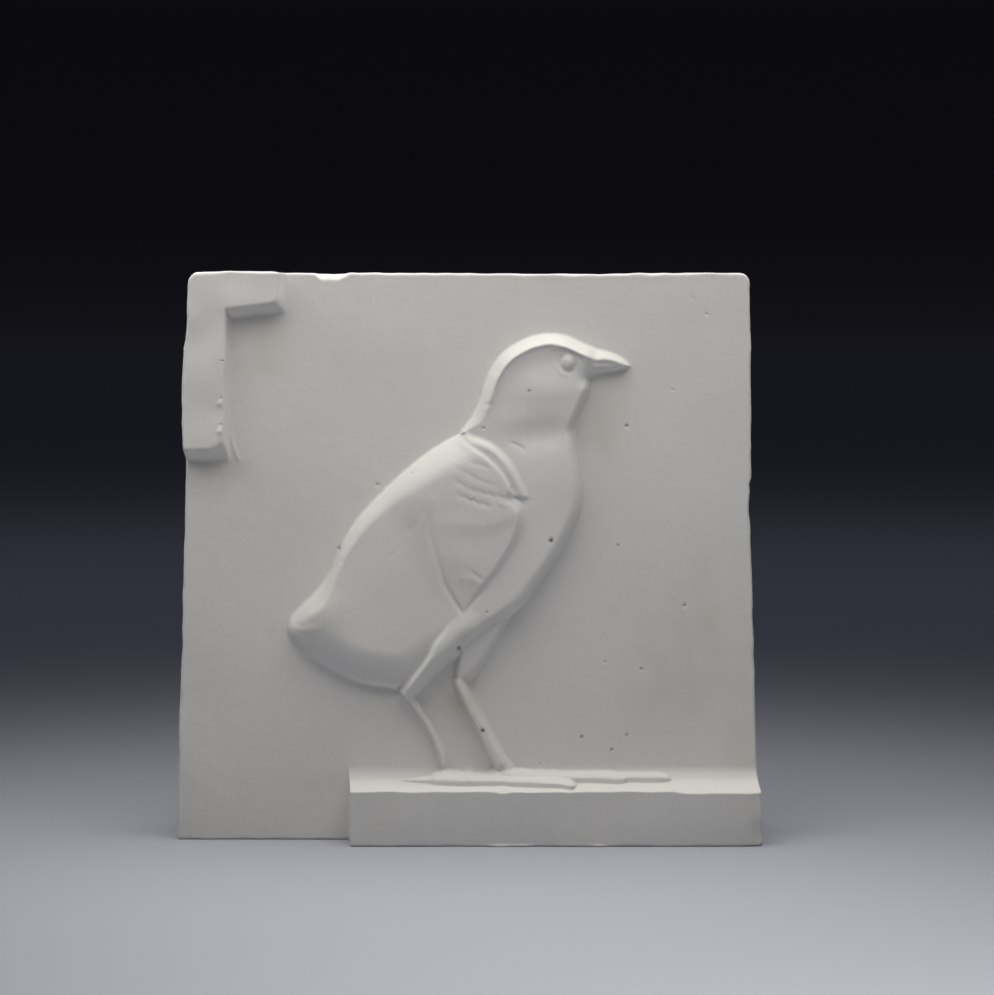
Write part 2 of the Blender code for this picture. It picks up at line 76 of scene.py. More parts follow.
# How far each edge stands out past the true line: (place along the edge, millimetres).
LEFT_EDGE = [(0, 0.1), (18, 0), (30, 0), (43, -0.27), (63, -0.5), (89, -0.6), (100.5, -0.65), (103, -0.5),
             (109, 0), (115.7, 0.25), (121, 0.2), (128.8, -0.16), (131, -0.7), (136, -0.85), (148, -1.0)]
RIGHT_EDGE = [(0, 0.1), (16.5, 0.1), (26.6, -0.07), (54, -0.3), (77, -0.5), (86.7, -0.75), (91.5, -0.6),
              (93.5, -0.9), (95.1, -0.26), (117, 0.26), (146, 0.4)]
TOP_EDGE = [(-73, -0.1), (-62, 0.25), (-50, 0.2), (-48.5, -0.1), (-40, -0.1), (-38.7, -0.3), (-31.7, -0.3),
            (-30.4, 0), (20, -0.3), (34, -0.4), (47, -0.1), (73, -0.1)]

# The grid: (place, spacing there).
COLUMNS = [(-HALF_FOOT, 0.3), (-74.6, 0.5), (-73, 1.1), (-65.5, 1.1), (-64.6, 0.34), (-60.8, 0.34),
           (-59.5, 1.1), (-51, 1.1), (-49.5, 0.55), (-33, 0.6), (-31.9, 0.6), (-31.5, 0.2), (-30.0, 0.2),
           (-29.4, 0.6), (-9, 0.6), (0, 0.46), (8, 0.43), (33, 0.43), (44, 0.48), (54, 0.7), (56, 1.15),
           (73, 1.15), (74.6, 0.5), (HALF_FOOT, 0.3)]
ROWS = [(0, 0.3), (1.8, 0.4), (3, 1.2), (12.4, 1.2), (13.6, 0.2), (14.2, 0.16), (17.2, 0.16), (18.2, 0.3),
        (22, 0.44), (38, 0.48), (62, 0.52), (88, 0.52), (96, 0.46), (106, 0.43), (110, 0.38), (133.5, 0.38),
        (135, 0.5), (140.5, 0.5), (142, 1.1), (145.4, 1.1), (146.6, 0.4), (HEIGHT, 0.3)]

# The bird, in hundredths of its height from the heel of the near foot.
LEDGE_HEIGHT = 16.5
CLEAR_ABOVE = 15.9
UNIT = (HEIGHT - LEDGE_HEIGHT - CLEAR_ABOVE) / 100
FOOT = np.array((-6.6, LEDGE_HEIGHT))
RELIEF = 4.3

TAIL_LINE = [(-34.1, 36.5), (-31.8, 38.9), (-29.1, 41.4), (-26.8, 44.1), (-25.0, 47.0)]
BACK_LINE = [(-25.0, 47.0), (-22.7, 52.6), (-19.4, 58.0), (-15.7, 62.3), (-11.0, 67.0), (-5.4, 71.8),
             (-0.2, 75.4), (3.8, 77.6)]
NAPE_LINE = [(3.8, 77.6), (4.9, 79.0), (6.5, 81.2), (7.6, 83.2), (8.5, 85.4), (9.2, 87.9), (10.5, 91.5)]
CROWN_LINE = [(10.5, 91.5), (12.3, 94.4), (14.8, 96.8), (18.6, 98.9), (21.9, 99.9), (24.9, 100.1),
              (27.8, 99.6), (30.4, 98.5), (33.1, 97.3), (34.9, 96.6)]
BILL_ABOVE = [(34.9, 96.6), (38.1, 95.7), (40.3, 94.6), (41.6, 93.5), (42.3, 92.7)]
BILL_BELOW = [(42.3, 92.7), (40.6, 92.2), (37.9, 91.8), (34.8, 91.2), (32.9, 90.2)]
CHEEK_LINE = [(32.9, 90.2), (33.2, 87.9), (32.5, 85.9), (31.2, 82.8), (29.6, 79.0), (29.8, 77.0),
              (30.5, 73.6)]
BREAST_LINE = [(30.5, 73.6), (31.2, 69.1), (31.6, 65.0), (31.0, 60.1), (29.0, 54.9), (25.8, 49.3),
               (22.2, 44.1), (19.1, 39.8), (15.3, 36.6), (9.8, 33.0), (6.2, 30.0), (2.9, 26.6)]
UNDER_LINE = [(2.9, 26.6), (-1.2, 23.9), (-6.2, 21.2), (-9.1, 20.3), (-14.7, 21.0), (-19.9, 22.1),
              (-24.7, 24.3), (-30.3, 27.7), (-33.6, 30.9), (-34.9, 33.6), (-34.1, 36.5)]

# The wall up from each stretch of outline. Two values hold for its start and end: the width in millimetres,
# how bowed it is (1 a flat slope, 2 a quarter circle), the share of the height that a steep foot takes, and
# the width of the slower roll above that foot.
WHOLE = (1.0, 1.0)
UPPER_WALLS = [
    (TAIL_LINE, (5.0, 2.5), (1.0, 1.6), WHOLE, WHOLE),
    (BACK_LINE, (2.5, 10.0), (1.6, 1.9), WHOLE, WHOLE),
    (NAPE_LINE, (4.2, 3.0), (1.9, 1.2), WHOLE, WHOLE),
    (CROWN_LINE, (3.0, 2.8), (1.12, 1.12), WHOLE, WHOLE),
    (BILL_ABOVE, (2.2, 1.5), (1.15, 1.15), WHOLE, WHOLE),
]
LOWER_WALLS = [
    (BILL_BELOW, (0.9, 0.9), (1.5, 1.5), (0.45, 0.45), (4.2, 4.2)),
    (CHEEK_LINE, (2.2, 2.4), (1.4, 1.4), WHOLE, WHOLE),
    (BREAST_LINE, (3.6, 4.4), (1.9, 1.9), WHOLE, WHOLE),
    (UNDER_LINE, (1.2, 1.2), (1.5, 1.5), (0.2, 0.12), (10.0, 9.5)),
]
ROLL_BOW = 1.35
# Softness of the ridge where two walls meet, how fast it grows up an upper wall, and the least share of it.
CREASE, CREASE_GROWS, CREASE_LEAST = 0.1, 3, 0.1
STEEP = 6.0  # fall of a wall carried on below the field

# Soft swells of the flat: place, reach along and across, turn in degrees, millimetres.
SWELLS = [
    ((24.0, 87.2), (8.0, 5.0), 0, 0.95),      # cheek
    ((22.5, 77.6), (8.5, 3.2), 8, -0.65),     # hollow of the throat
    ((23.5, 68.5), (6.5, 8.0), 0, 0.45),      # breast
    ((-6.0, 50.0), (20.0, 12.0), 50, 0.35),   # flank
    ((-28.0, 37.5), (6.0, 4.5), 20, 1.0),     # tail
]
# The body stands out further the lower it goes: millimetres for each step down between these heights.
LEAN_PER_UNIT, LEAN_FROM, LEAN_TO = 0.028, 76.0, 28.0
HEAD_FROM, HEAD_BLEND = 80.0, 6.0  # where the head begins, and over what height
HEAD_RISE = 0.7  # of the head over the body
ARRIS = 2.7  # how far in the crown's wall ends, in an arris
ARRIS_LIP = 0.3  # of the arris over the face inside it
TEMPLE_FALL = 0.75  # of the face further in
TEMPLE_REACH = [(9.0, 2.0), (17.0, 5.2)]  # over what width it falls, from nape to crown
BILL_HEIGHT = 3.4
BILL_FROM, BILL_BLEND = 31.6, 3.2  # where the bill begins, and over what width


def linear(hexes):
    """A colour given as sRGB hex digits, as the linear values that shaders take."""
    parts = np.array([int(hexes[i:i + 2], 16) for i in (0, 2, 4)]) / 255
    return (*np.where(parts <= 0.04045, parts / 12.92, ((parts + 0.055) / 1.055) ** 2.4), 1.0)


def ease(t):
    """0 to 1 with level ends: t squared times (3 - 2t)."""
    t = np.clip(t, 0, 1)
    return t * t * (3 - 2 * t)


def bell(t):
    """1 in the middle and falling off both ways: e to the power of minus t squared."""
    return np.exp(-t * t)


def bow(t, power=2.0):
    """A rise from 0 to 1 that starts steep and ends level: (1 - (1-t)^n)^(1/n)."""
    return (1 - (1 - np.clip(t, 0, 1)) ** power) ** (1 / power)


def soft_max(a, b, soft):
    """The larger of two heights, with a fillet where they cross."""
    gap = np.clip(1 - np.abs(a - b) / soft, 0, None)
    return np.maximum(a, b) + soft / 4 * gap * gap


def soft_min(a, b, soft):
    """The smaller of two heights, with a fillet where they cross."""
    return -soft_max(-a, -b, soft)


FINE_PLACES = 20001


def crowded(knots):
    """Places from the first knot to the last, as far apart as the knots say.

    The count of steps passed is the running sum of length over spacing; the places are where it is whole.
    """
    at, step = np.array(knots, float).T
    fine = np.linspace(at[0], at[-1], FINE_PLACES)
    middle = (fine[1:] + fine[:-1]) / 2
    count = np.concatenate([[0], np.cumsum(np.diff(fine) / np.interp(middle, at, step))])
    return np.interp(np.linspace(0, count[-1], round(count[-1]) + 1), count, fine)


WAVES = 30
SHORTEST, LONGEST = 0.6, 1.7  # of the waves, as shares of their length


def uneven(wave, x, z=0.0):
    """Soft random unevenness: the sum of many cosines, each with its own way, length and start."""
    rise, length, seed = wave
    chance = np.random.default_rng(seed)
    total = np.zeros(np.shape(x))
    for _ in range(WAVES):
        turn, start = chance.uniform(0, 2 * np.pi, 2)
        pitch = 2 * np.pi / (length * chance.uniform(SHORTEST, LONGEST))
        total += np.cos(pitch * (np.cos(turn) * x + np.sin(turn) * z) + start)
    return rise * (total / np.sqrt(WAVES / 2))


def between(place, table):
    """A value read from a table of (place, value), level past its ends."""
    return np.interp(place, *np.array(table).T)


def on_bird(points):
    """Hundredths of the bird's height as millimetres on the front."""
    return np.array(points, float) * UNIT + FOOT


LINE_STEP = 0.9  # millimetres between the places of a smooth line
SPAN_STEPS = 20


def smooth(points, step=LINE_STEP):
    """A smooth line through points: each span is a cubic whose slope at a point is half the way between
    that point's neighbours. It is cut into even steps."""
    line = np.array(points, float)
    before = np.vstack([2 * line[0] - line[1], line[:-2], line[-2]])[: len(line) - 1]
    after = np.vstack([line[2:], 2 * line[-1] - line[-2]])
    t = np.linspace(0, 1, SPAN_STEPS, endpoint=False)[:, None]
    spans = [b + 0.5 * t * (c - a + t * (2 * a - 5 * b + 4 * c - d + t * (3 * (b - c) + d - a)))
             for a, b, c, d in zip(before, line[:-1], line[1:], after)]
    fine = np.vstack(spans + [line[-1:]])
    run = np.concatenate([[0], np.cumsum(np.linalg.norm(np.diff(fine, axis=0), axis=1))])
    reached = np.linspace(0, run[-1], max(2, round(run[-1] / step) + 1))
    return np.column_stack([np.interp(reached, run, fine[:, i]) for i in (0, 1)])


def bird_line(points):
    """A smooth line through places of the bird."""
    return smooth(on_bird(points))


FAR = 1e3
NEAR = 30.0  # distances past this are left out


def nearest(line, x, z):
    """The nearest place on a chain of straight pieces: its distance, the share of the chain passed there, x
    and z."""
    best, along, to_x, to_z = np.full(x.shape, FAR), np.zeros(x.shape), x.copy(), z.copy()
    for i, (a, b) in enumerate(zip(line[:-1], line[1:])):
        way = b - a
        t = np.clip(((x - a[0]) * way[0] + (z - a[1]) * way[1]) / (way @ way), 0, 1)
        at_x, at_z = a[0] + t * way[0], a[1] + t * way[1]
        gap = np.hypot(x - at_x, z - at_z)
        closer = gap < best
        for kept, found in ((best, gap), (along, (i + t) / (len(line) - 1)), (to_x, at_x), (to_z, at_z)):
            kept[closer] = found[closer]
    return best, along, to_x, to_z


def box_round(line, x, z, margin):
    """Which places lie in the line's box, widened by a margin."""
    lowest, highest = line.min(axis=0) - margin, line.max(axis=0) + margin
    return (x > lowest[0]) & (x < highest[0]) & (z > lowest[1]) & (z < highest[1])


def to_line(line, x, z, reach=NEAR):
    """Distance from each place to a line, and the share of the line passed there. Places outside its box,
    widened by the reach, stay at a far value."""
    away, share = np.full(x.shape, FAR), np.zeros(x.shape)
    near = box_round(line, x, z, reach)
    away[near], share[near] = nearest(line, x[near], z[near])[:2]
    return away, share


def inside(ring, x, z):
    """Whether each place lies in a ring: it does if an odd number of the ring's sides lie to its right."""
    found = np.zeros(x.shape, bool)
    for (ax, az), (bx, bz) in zip(ring, np.roll(ring, -1, axis=0)):
        if az != bz:
            found ^= ((az > z) != (bz > z)) & (x < ax + (z - az) * (bx - ax) / (bz - az))
    return found


def chained(*parts):
    """Smooth lines of the bird that run on from each other, closed into a ring."""
    return np.vstack([bird_line(part)[:-1] for part in parts])


BELL_REACHES = 5  # past so many of its reaches a bell is nothing
GROOVE_END, GROOVE_LEFT = 0.12, 0.25


def groove(x, z, points, rise, reach):
    """A line carved in the flat, or raised on it: a bell across it. Over a share of its length at either end
    it dies down to what is left there."""
    away, along = to_line(bird_line(points), x, z, BELL_REACHES * reach)
    ends = ease(along / GROOVE_END) * ease((1 - along) / GROOVE_END)
    return rise * bell(away / reach) * (GROOVE_LEFT + (1 - GROOVE_LEFT) * ends)


def slab_plan():
    """Columns and rows bent to the slab's outline, and each place's distance in from the edge.

    The sides lean in by the taper, the edges follow their own unevenness, and each square corner
    becomes a quarter circle: with s and t the shares left to the sides, s is scaled by
    sqrt(1 - t*t/2) and t by sqrt(1 - s*s/2).
    """
    u, v = np.meshgrid(crowded(COLUMNS), crowded(ROWS))
    side_gap, end_gap = HALF_FOOT - np.abs(u), np.minimum(v, HEIGHT - v)
    corner = np.where(v > HEIGHT / 2, CORNER_ABOVE, CORNER_BELOW)
    s, t = np.clip(1 - side_gap / corner, 0, 1), np.clip(1 - end_gap / corner, 0, 1)
    round_s, round_t = s * np.sqrt(1 - t * t / 2), t * np.sqrt(1 - s * s / 2)
    in_corner = (s > 0) & (t > 0)
    edge = np.where(in_corner, corner * (1 - np.hypot(round_s, round_t)), np.minimum(side_gap, end_gap))
    u -= np.sign(u) * corner * (s - round_s)
    v -= np.where(v > HEIGHT / 2, 1, -1) * corner * (t - round_t)
    lean = TAPER / 2 * v / HEIGHT * (np.abs(u) / HALF_FOOT) ** TAPER_BEND
    x = u - np.sign(u) * lean
    near_side = ease(1 - side_gap / EDGE_REACH)
    stand_out = np.where(u < 0, between(v, LEFT_EDGE), between(v, RIGHT_EDGE))
    stand_out += uneven(SIDE_WAVE, v, np.sign(u) * HEIGHT) + uneven(SIDE_RIPPLE, v)
    x += np.sign(u) * near_side * stand_out
    near_top = ease(1 - (HEIGHT - v) / EDGE_REACH)
    z = v + near_top * (between(x, TOP_EDGE) + uneven(TOP_WAVE, x))
    return x, z, edge


# Pinholes left by air: x, z, reach.
PITS = [(41.4, 108.7, 0.6), (21.7, 79.1, 0.75), (-23.5, 93.4, 0.5), (-33.4, 76.7, 0.55), (-32.6, 73.6, 0.4),
        (-14.4, 96.5, 0.35), (-0.9, 106.6, 0.45), (16.0, 117.8, 0.5), (-2.2, 51.1, 0.75), (-11.9, 40.9, 0.4),
        (-15.0, 40.9, 0.35), (5.1, 60.5, 0.45), (4.0, 29.3, 0.8), (29.9, 27.2, 0.6), (37.7, 23.8, 0.55),
        (41.7, 27.7, 0.55), (45.5, 45.1, 0.55), (56.6, 61.8, 0.5), (35.9, 46.9, 0.4), (39.2, 77.5, 0.5),
        (1.7, 90.0, 0.4), (18.9, 20.1, 0.4), (62.0, 137.7, 0.4), (53.3, 118.0, 0.4), (58.4, 141.8, 0.4),
        (4.3, 108.2, 0.45), (-63.5, 116.0, 0.4), (-63.6, 109.2, 0.4), (-63.1, 125.6, 0.4)]
PIT_PULL, PIT_HOLD = 1.7, 0.66  # how far round a pit the grid is drawn in, and how much
PIT_DEPTH, PIT_WIDTH = 0.85, 0.8  # for each millimetre of reach
# Painted shade in the pinholes: the colour is darkened inside each pit, as a deep hole looks dark. Its width,
# as a share of the pit's reach, and how dark it is, by the pit's reach.
PORE_SHADE_WIDTH = 0.95
PORE_SHADE = [(0.4, 0.1), (0.75, 1.0)]  # the wider a pore, the darker it is inside


def drawn_to_pits(x, z):
    """The grid drawn in round each pit: the nearest place moves to its middle, and those around it close in
    by a bell of the distance."""
    for px, pz, _ in PITS:
        middle = np.unravel_index(np.hypot(x - px, z - pz).argmin(), x.shape)
        hold = bell(np.hypot(x - px, z - pz) / PIT_PULL)
        x, z = x + (px - x[middle]) * hold, z + (pz - z[middle]) * hold
        hold = PIT_HOLD * bell(np.hypot(x - px, z - pz) / PIT_PULL)
        x, z = x + (px - x) * hold, z + (pz - z) * hold
    return x, z


SNAP_SHARE, SNAP_MARGIN = 0.46, 2.0


def snapped(x, z, lines):
    """Places close to a sharp line moved onto it, by less than half the grid's spacing there."""
    room = SNAP_SHARE * np.minimum(np.gradient(x, axis=1), np.gradient(z, axis=0))
    free = np.ones(x.shape, bool)
    free[[0, -1], :] = free[:, [0, -1]] = False
    for line in lines:
        near = box_round(line, x, z, SNAP_MARGIN)
        best, _, to_x, to_z = nearest(line, x[near], z[near])
        moves = (best < room[near]) & free[near]
        x[near], z[near] = np.where(moves, to_x, x[near]), np.where(moves, to_z, z[near])
        free[near] &= ~moves
    return x, z


def swells(x, z):
    """The sum of the soft swells, each a bell that may be longer one way than the other."""
    total = np.zeros(x.shape)
    for place, reach, turn, rise in SWELLS:
        right, up = (axis - at for axis, at in zip(bird_axes(x, z), place))
        c, s = np.cos(np.radians(turn)), np.sin(np.radians(turn))
        total += rise * bell(np.hypot((right * c + up * s) / reach[0], (up * c - right * s) / reach[1]))
    return total


def bird_axes(x, z):
    """Each place in hundredths of the bird's height."""
    return (x - FOOT[0]) / UNIT, (z - FOOT[1]) / UNIT


EYE, EYE_REACH = (28.2, 93.7), (1.55, 1.8)
BALL_RISE, BALL_BOW = 0.9, 0.85
SOCKET_DEPTH, SOCKET_AT, SOCKET_REACH = 0.15, 1.2, 0.3  # the last two as shares of the eye's reach


def eye(x, z):
    """The ball stands out as a dome, a power of 1 minus distance squared, from a shallow socket."""
    right, up = bird_axes(x, z)
    away = np.hypot((right - EYE[0]) / EYE_REACH[0], (up - EYE[1]) / EYE_REACH[1])
    ball = BALL_RISE * np.clip(1 - away**2, 0, 1) ** BALL_BOW
    return ball - SOCKET_DEPTH * bell((away - SOCKET_AT) / SOCKET_REACH)


COLLAR_OUT = [(4.6, 80.2), (6.6, 77.9), (9.0, 77.0), (12.4, 75.2), (15.6, 72.0), (17.9, 67.9), (20.2, 63.2)]
COLLAR_IN = [(4.2, 78.4), (5.0, 76.6), (7.4, 74.6), (10.4, 72.5), (13.2, 69.7), (15.2, 66.6), (16.4, 63.4)]
WING_RIGHT = [(16.4, 63.4), (18.6, 61.4), (19.1, 58.1), (17.9, 54.5), (15.2, 49.8), (11.6, 45.1),
              (7.8, 41.2), (4.7, 37.4)]
WING_LEFT = [(-2.6, 62.0), (-2.7, 56.3), (-1.9, 53.0), (-0.4, 47.8), (0.4, 45.1), (1.9, 42.0), (4.7, 37.4)]
# How far to the left the wing's rise goes on, under the shoulder.
BLADE_LEFT = [(1.0, 80.4), (-9.0, 73.5), (-13.0, 65.0), (-11.5, 57.0), (-8.0, 49.5), (-3.0, 42.0),
              (4.7, 37.4)]
BLADE_FADE = 13.0  # over what width it dies out there
# Steps: millimetres up or down, where they begin in from their line, and over what width.
COLLAR_UP, COLLAR_DOWN = (1.45, 0.0, 2.1), (-0.15, 1.9, 1.4)
SHOULDER_UP, SHOULDER_DOWN = (0.45, 0.0, 0.8), (-0.1, 0.8, 2.0)
COLLAR_END, COLLAR_END_WALL = 62.9, 1.2  # the collar's lower end, and its wall
# The share of the collar's height left there, and from where and over what height it grows to the whole.
COLLAR_LOW, COLLAR_LOW_FROM, COLLAR_LOW_OVER = 0.5, 63.0, 7.0
SHOULDER_SWELL, SHOULDER_ROLL = 0.55, 13.0  # how much it swells, and over what width
SHOULDER_REACH, SHOULDER_HOLD = 40.0, 3.0  # how far in it goes on, and how wide it stays at the left
WING_RISE = [(38.0, 0.8), (62.0, 1.6)]  # over the body, at these heights
WING_STEP = (3.4, 1.1)  # width of its right wall, at the shoulder and at the tip
WING_BLEND = 10.0  # over what width the shoulder gives way to the edge


def step_of(away, step):
    """A step's height, this far in from its line."""
    rise, start, width = step
    return rise * ease((away - start) / width)


def wing(x, z):
    """The folded wing, stepped up from the body along its right edge, with the collar above it.

    From the neck the collar rises in a wall and runs level, and the shoulder rises from it in a fine arris
    and goes on in a slow swell: each step is an ease of the distance from its line. The shoulder gives way
    to the wing's own rise, which falls to the tip and dies out to the left.
    """
    outer, inner, edge = bird_line(COLLAR_OUT), bird_line(COLLAR_IN), bird_line(WING_RIGHT)
    left = bird_line(BLADE_LEFT)
    in_collar = inside(np.vstack([outer, inner[::-1]]), x, z)
    in_blade = inside(np.vstack([inner, edge[1:], left[::-1]]), x, z)
    from_outer, from_inner = to_line(outer, x, z)[0], to_line(inner, x, z)[0]
    from_edge, along_edge = to_line(edge, x, z)
    up = bird_axes(x, z)[1]
    low = COLLAR_LOW + (1 - COLLAR_LOW) * ease((up - COLLAR_LOW_FROM) / COLLAR_LOW_OVER)
    collar = step_of(from_outer, COLLAR_UP) + step_of(from_outer, COLLAR_DOWN)
    collar *= ease((up - COLLAR_END) / COLLAR_END_WALL) * low
    fade = ease(to_line(left, x, z)[0] / BLADE_FADE)
    shoulder = COLLAR_UP[0] + COLLAR_DOWN[0] + step_of(from_inner, SHOULDER_UP)
    shoulder += step_of(from_inner, SHOULDER_DOWN) + SHOULDER_SWELL * bow(from_inner / SHOULDER_ROLL)
    tip = between(up, WING_RISE) * ease(from_edge / along_wall(along_edge, WING_STEP)) * fade
    hold = fade + (1 - fade) * ease(1 - from_inner / SHOULDER_HOLD)
    shoulder = tip + (shoulder - tip) * ease(1 - from_inner / SHOULDER_REACH) * hold
    blend = ease((from_edge - from_inner) / WING_BLEND + 0.5)
    return np.where(in_blade, shoulder * blend + tip * (1 - blend), np.where(in_collar, collar, 0))


SCALLOP_PITCH, SCALLOP_DEPTH, SCALLOP_STEP = 2.1, 0.7, 0.2


def scalloped(start, middle, end):
    """A row of small feather ends: arcs hung from a smooth line, one for each pitch."""
    line = smooth([start, middle, end], SCALLOP_STEP)
    run = np.linspace(0, np.linalg.norm(np.subtract(end, start)), len(line))
    line[:, 1] -= SCALLOP_DEPTH * np.abs(np.sin(np.pi * run / SCALLOP_PITCH))
    return line


# Fine lines: their points, millimetres up or down, and their reach to either side, on the points' scale.
FEATHERS = [
    ([(6.0, 71.6), (8.6, 70.9), (10.9, 70.1)], -0.11, 0.4),
    ([(5.7, 68.7), (8.8, 67.4), (12.0, 66.3)], -0.12, 0.4),
    ([(3.2, 70.0), (5.4, 69.4), (7.6, 68.2)], -0.08, 0.4),
    (scalloped((2.8, 68.0), (7.4, 65.6), (15.9, 63.6)), -0.16, 0.4),
    (scalloped((3.4, 65.0), (7.4, 63.1), (11.2, 62.2)), -0.16, 0.4),
    ([(12.4, 62.3), (14.4, 62.0), (16.4, 61.4)], 0.12, 0.4),
    ([(16.6, 60.8), (16.3, 56.8), (14.4, 51.4)], 0.08, 0.4),
    ([(15.6, 63.5), (18.0, 63.2), (20.4, 63.1)], -0.14, 0.4),
    ([(6.3, 47.4), (7.8, 46.1), (9.2, 45.2)], -0.2, 0.4),
    ([(4.0, 45.2), (6.2, 45.6), (8.6, 44.2)], 0.14, 0.75),
    ([(-3.7, 61.3), (-5.4, 58.0), (-8.4, 55.7)], -0.1, 0.6),
    ([(-8.4, 55.7), (-9.6, 52.0), (-12.4, 50.2)], -0.08, 0.6),
    (WING_LEFT, -0.3, 0.5),
    (WING_LEFT[4:], -0.2, 0.55),
    ([(12.0, 46.2), (7.8, 41.2), (4.7, 37.4)], -0.22, 0.5),
]

# Faint upright ribs low on the wing, at these places across it.
RIBS_AT = (5.4, 6.3, 7.2, 8.4, 9.3, 10.2)
RIBS = [([(at, 51.6), (at + 0.1, 49.8), (at + 0.3, 48.0)], 0.06, 0.28) for at in RIBS_AT]

HEAD_LINES = [
    ([(18.8, 85.6), (18.9, 81.0), (18.8, 76.2)], -0.07, 0.35),
    ([(15.2, 75.9), (17.0, 75.2), (18.7, 74.0)], -0.2, 0.3),
    ([(24.4, 96.5), (26.6, 97.1), (29.7, 96.2), (31.2, 94.9)], 0.2, 0.36),
    ([(26.4, 96.2), (28.4, 96.1), (30.6, 95.0)], -0.2, 0.36),
    ([(25.2, 93.2), (26.6, 91.3), (28.4, 90.8)], 0.14, 0.36),
    ([(30.6, 95.0), (31.2, 93.9), (31.7, 92.7)], -0.22, 0.4),
    ([(32.4, 93.6), (32.7, 94.8), (33.1, 96.2)], 0.22, 0.4),
    ([(30.9, 96.5), (32.0, 96.4), (33.4, 96.0)], -0.2, 0.35),
    ([(33.4, 93.6), (35.8, 93.5), (38.6, 93.3)], -0.24, 0.34),
    ([(33.8, 92.9), (35.8, 92.8), (38.4, 92.7)], 0.16, 0.3),
    ([(9.2, 84.4), (10.2, 84.2), (11.2, 84.5)], -0.25, 0.5),
]

TAIL_LINES = [
    ([(-34.6, 35.0), (-32.6, 35.0), (-30.6, 34.4)], -0.25, 0.35),
    ([(-33.6, 34.2), (-32.0, 33.4), (-30.2, 32.6)], -0.22, 0.4),
]


def carved(x, z):
    """Every fine line of the bird, summed."""
    total = np.zeros(x.shape)
    for points, rise, reach in FEATHERS + RIBS + HEAD_LINES + TAIL_LINES:
        total += groove(x, z, points, rise, reach * UNIT)
    return total


def flat_of_bird(x, z):
    """The bird with no walls: its relief, swells, fall inside the crown, wing, eye and lines, giving way to
    the bill."""
    right, up = bird_axes(x, z)
    crown = to_line(smooth(on_bird(NAPE_LINE[2:] + CROWN_LINE[1:])), x, z)[0]
    bill = ease((right - BILL_FROM) / BILL_BLEND)
    head = ease((up - HEAD_FROM) / HEAD_BLEND)
    inward = np.clip((crown - ARRIS) / between(right, TEMPLE_REACH), 0, 1)
    fall = TEMPLE_FALL * (1 - (1 - inward) ** 2) + ARRIS_LIP * ease(crown - ARRIS)
    lean = LEAN_PER_UNIT * np.clip(LEAN_FROM - up, 0, LEAN_FROM - LEAN_TO)
    flat = RELIEF + lean + head * (HEAD_RISE - fall) + swells(x, z) + wing(x, z) + eye(x, z) * (1 - bill)
    return flat * (1 - bill) + BILL_HEIGHT * bill + carved(x, z)


FIRST_HOLDS = 0.4  # how much of a change runs evenly; the rest waits for the end


def along_wall(share, ends):
    """A wall's value part of the way along: it keeps near its first for longer."""
    return ends[0] + (ends[1] - ends[0]) * share * (FIRST_HOLDS + (1 - FIRST_HOLDS) * share)


def least_rise(x, z, walls):
    """The least of the rises from the walls, and the distance to the nearest one."""
    share, least = np.ones(x.shape), np.full(x.shape, FAR)
    for line, width, power, foot, roll in walls:
        away, along = to_line(bird_line(line), x, z)
        low = along_wall(along, foot)
        rise = bow(away / along_wall(along, width), along_wall(along, power))
        rise *= low + (1 - low) * bow(away / along_wall(along, roll), ROLL_BOW)
        share, least = np.minimum(share, rise), np.minimum(least, away)
    return share, least


def trunk(x, z):
    """Head and body: the flat times the least of the rises from each stretch of outline.

    A rise is a bow over its wall's width. Where that takes only a share of the height, the rest comes as a
    second, wider bow. Outside the outline the wall is carried on below the field, so that the fillet at its
    foot is even.
    """
    ring = chained(*[wall[0] for wall in UPPER_WALLS + LOWER_WALLS])
    (upper, least), (lower, least_below) = least_rise(x, z, UPPER_WALLS), least_rise(x, z, LOWER_WALLS)
    crease = CREASE * np.clip(CREASE_GROWS * upper, CREASE_LEAST, 1)
    share = np.clip(soft_min(upper, lower, crease), 0, None)
    return np.where(inside(ring, x, z), flat_of_bird(x, z) * share, -STEEP * np.minimum(least, least_below))


NEAR_THIGH_LEFT = [(1.6, 39.4), (-1.2, 34.9), (-3.4, 31.9), (-4.8, 28.4), (-6.6, 25.8), (-8.4, 23.2),
                   (-9.8, 20.8)]
NEAR_HEEL = [(-9.8, 20.8), (-9.4, 19.0), (-7.9, 17.6), (-6.5, 17.1)]
NEAR_THIGH_RIGHT = [(-6.5, 17.1), (-5.2, 19.5), (-2.2, 22.7), (0.8, 25.5), (3.8, 28.1), (6.0, 30.4),
                    (8.3, 31.9), (11.5, 34.6)]
NEAR_THIGH_TOP = [(11.5, 34.6), (11.6, 39.0), (7.0, 41.6), (1.6, 39.4)]
FAR_THIGH_LEFT = [(9.8, 35.4), (5.4, 31.2), (3.7, 28.2), (3.1, 24.8), (2.9, 22.0), (3.8, 20.6)]
FAR_THIGH_RIGHT = [(3.8, 20.6), (5.9, 21.7), (7.9, 23.6), (10.1, 27.0), (12.0, 30.0), (13.6, 33.0),
                   (15.2, 36.4)]
FAR_THIGH_TOP = [(15.2, 36.4), (12.4, 37.6), (9.8, 35.4)]
# How high each stands at each height of the bird.
NEAR_THIGH_RISE = [(17, 3.8), (21, 6.4), (28, 7.4), (35, 6.7), (41, 5.7)]
FAR_THIGH_RISE = [(20, 2.6), (24, 3.0), (34, 3.8)]
RIDGE = 0.2  # softness of the ridge where two walls meet


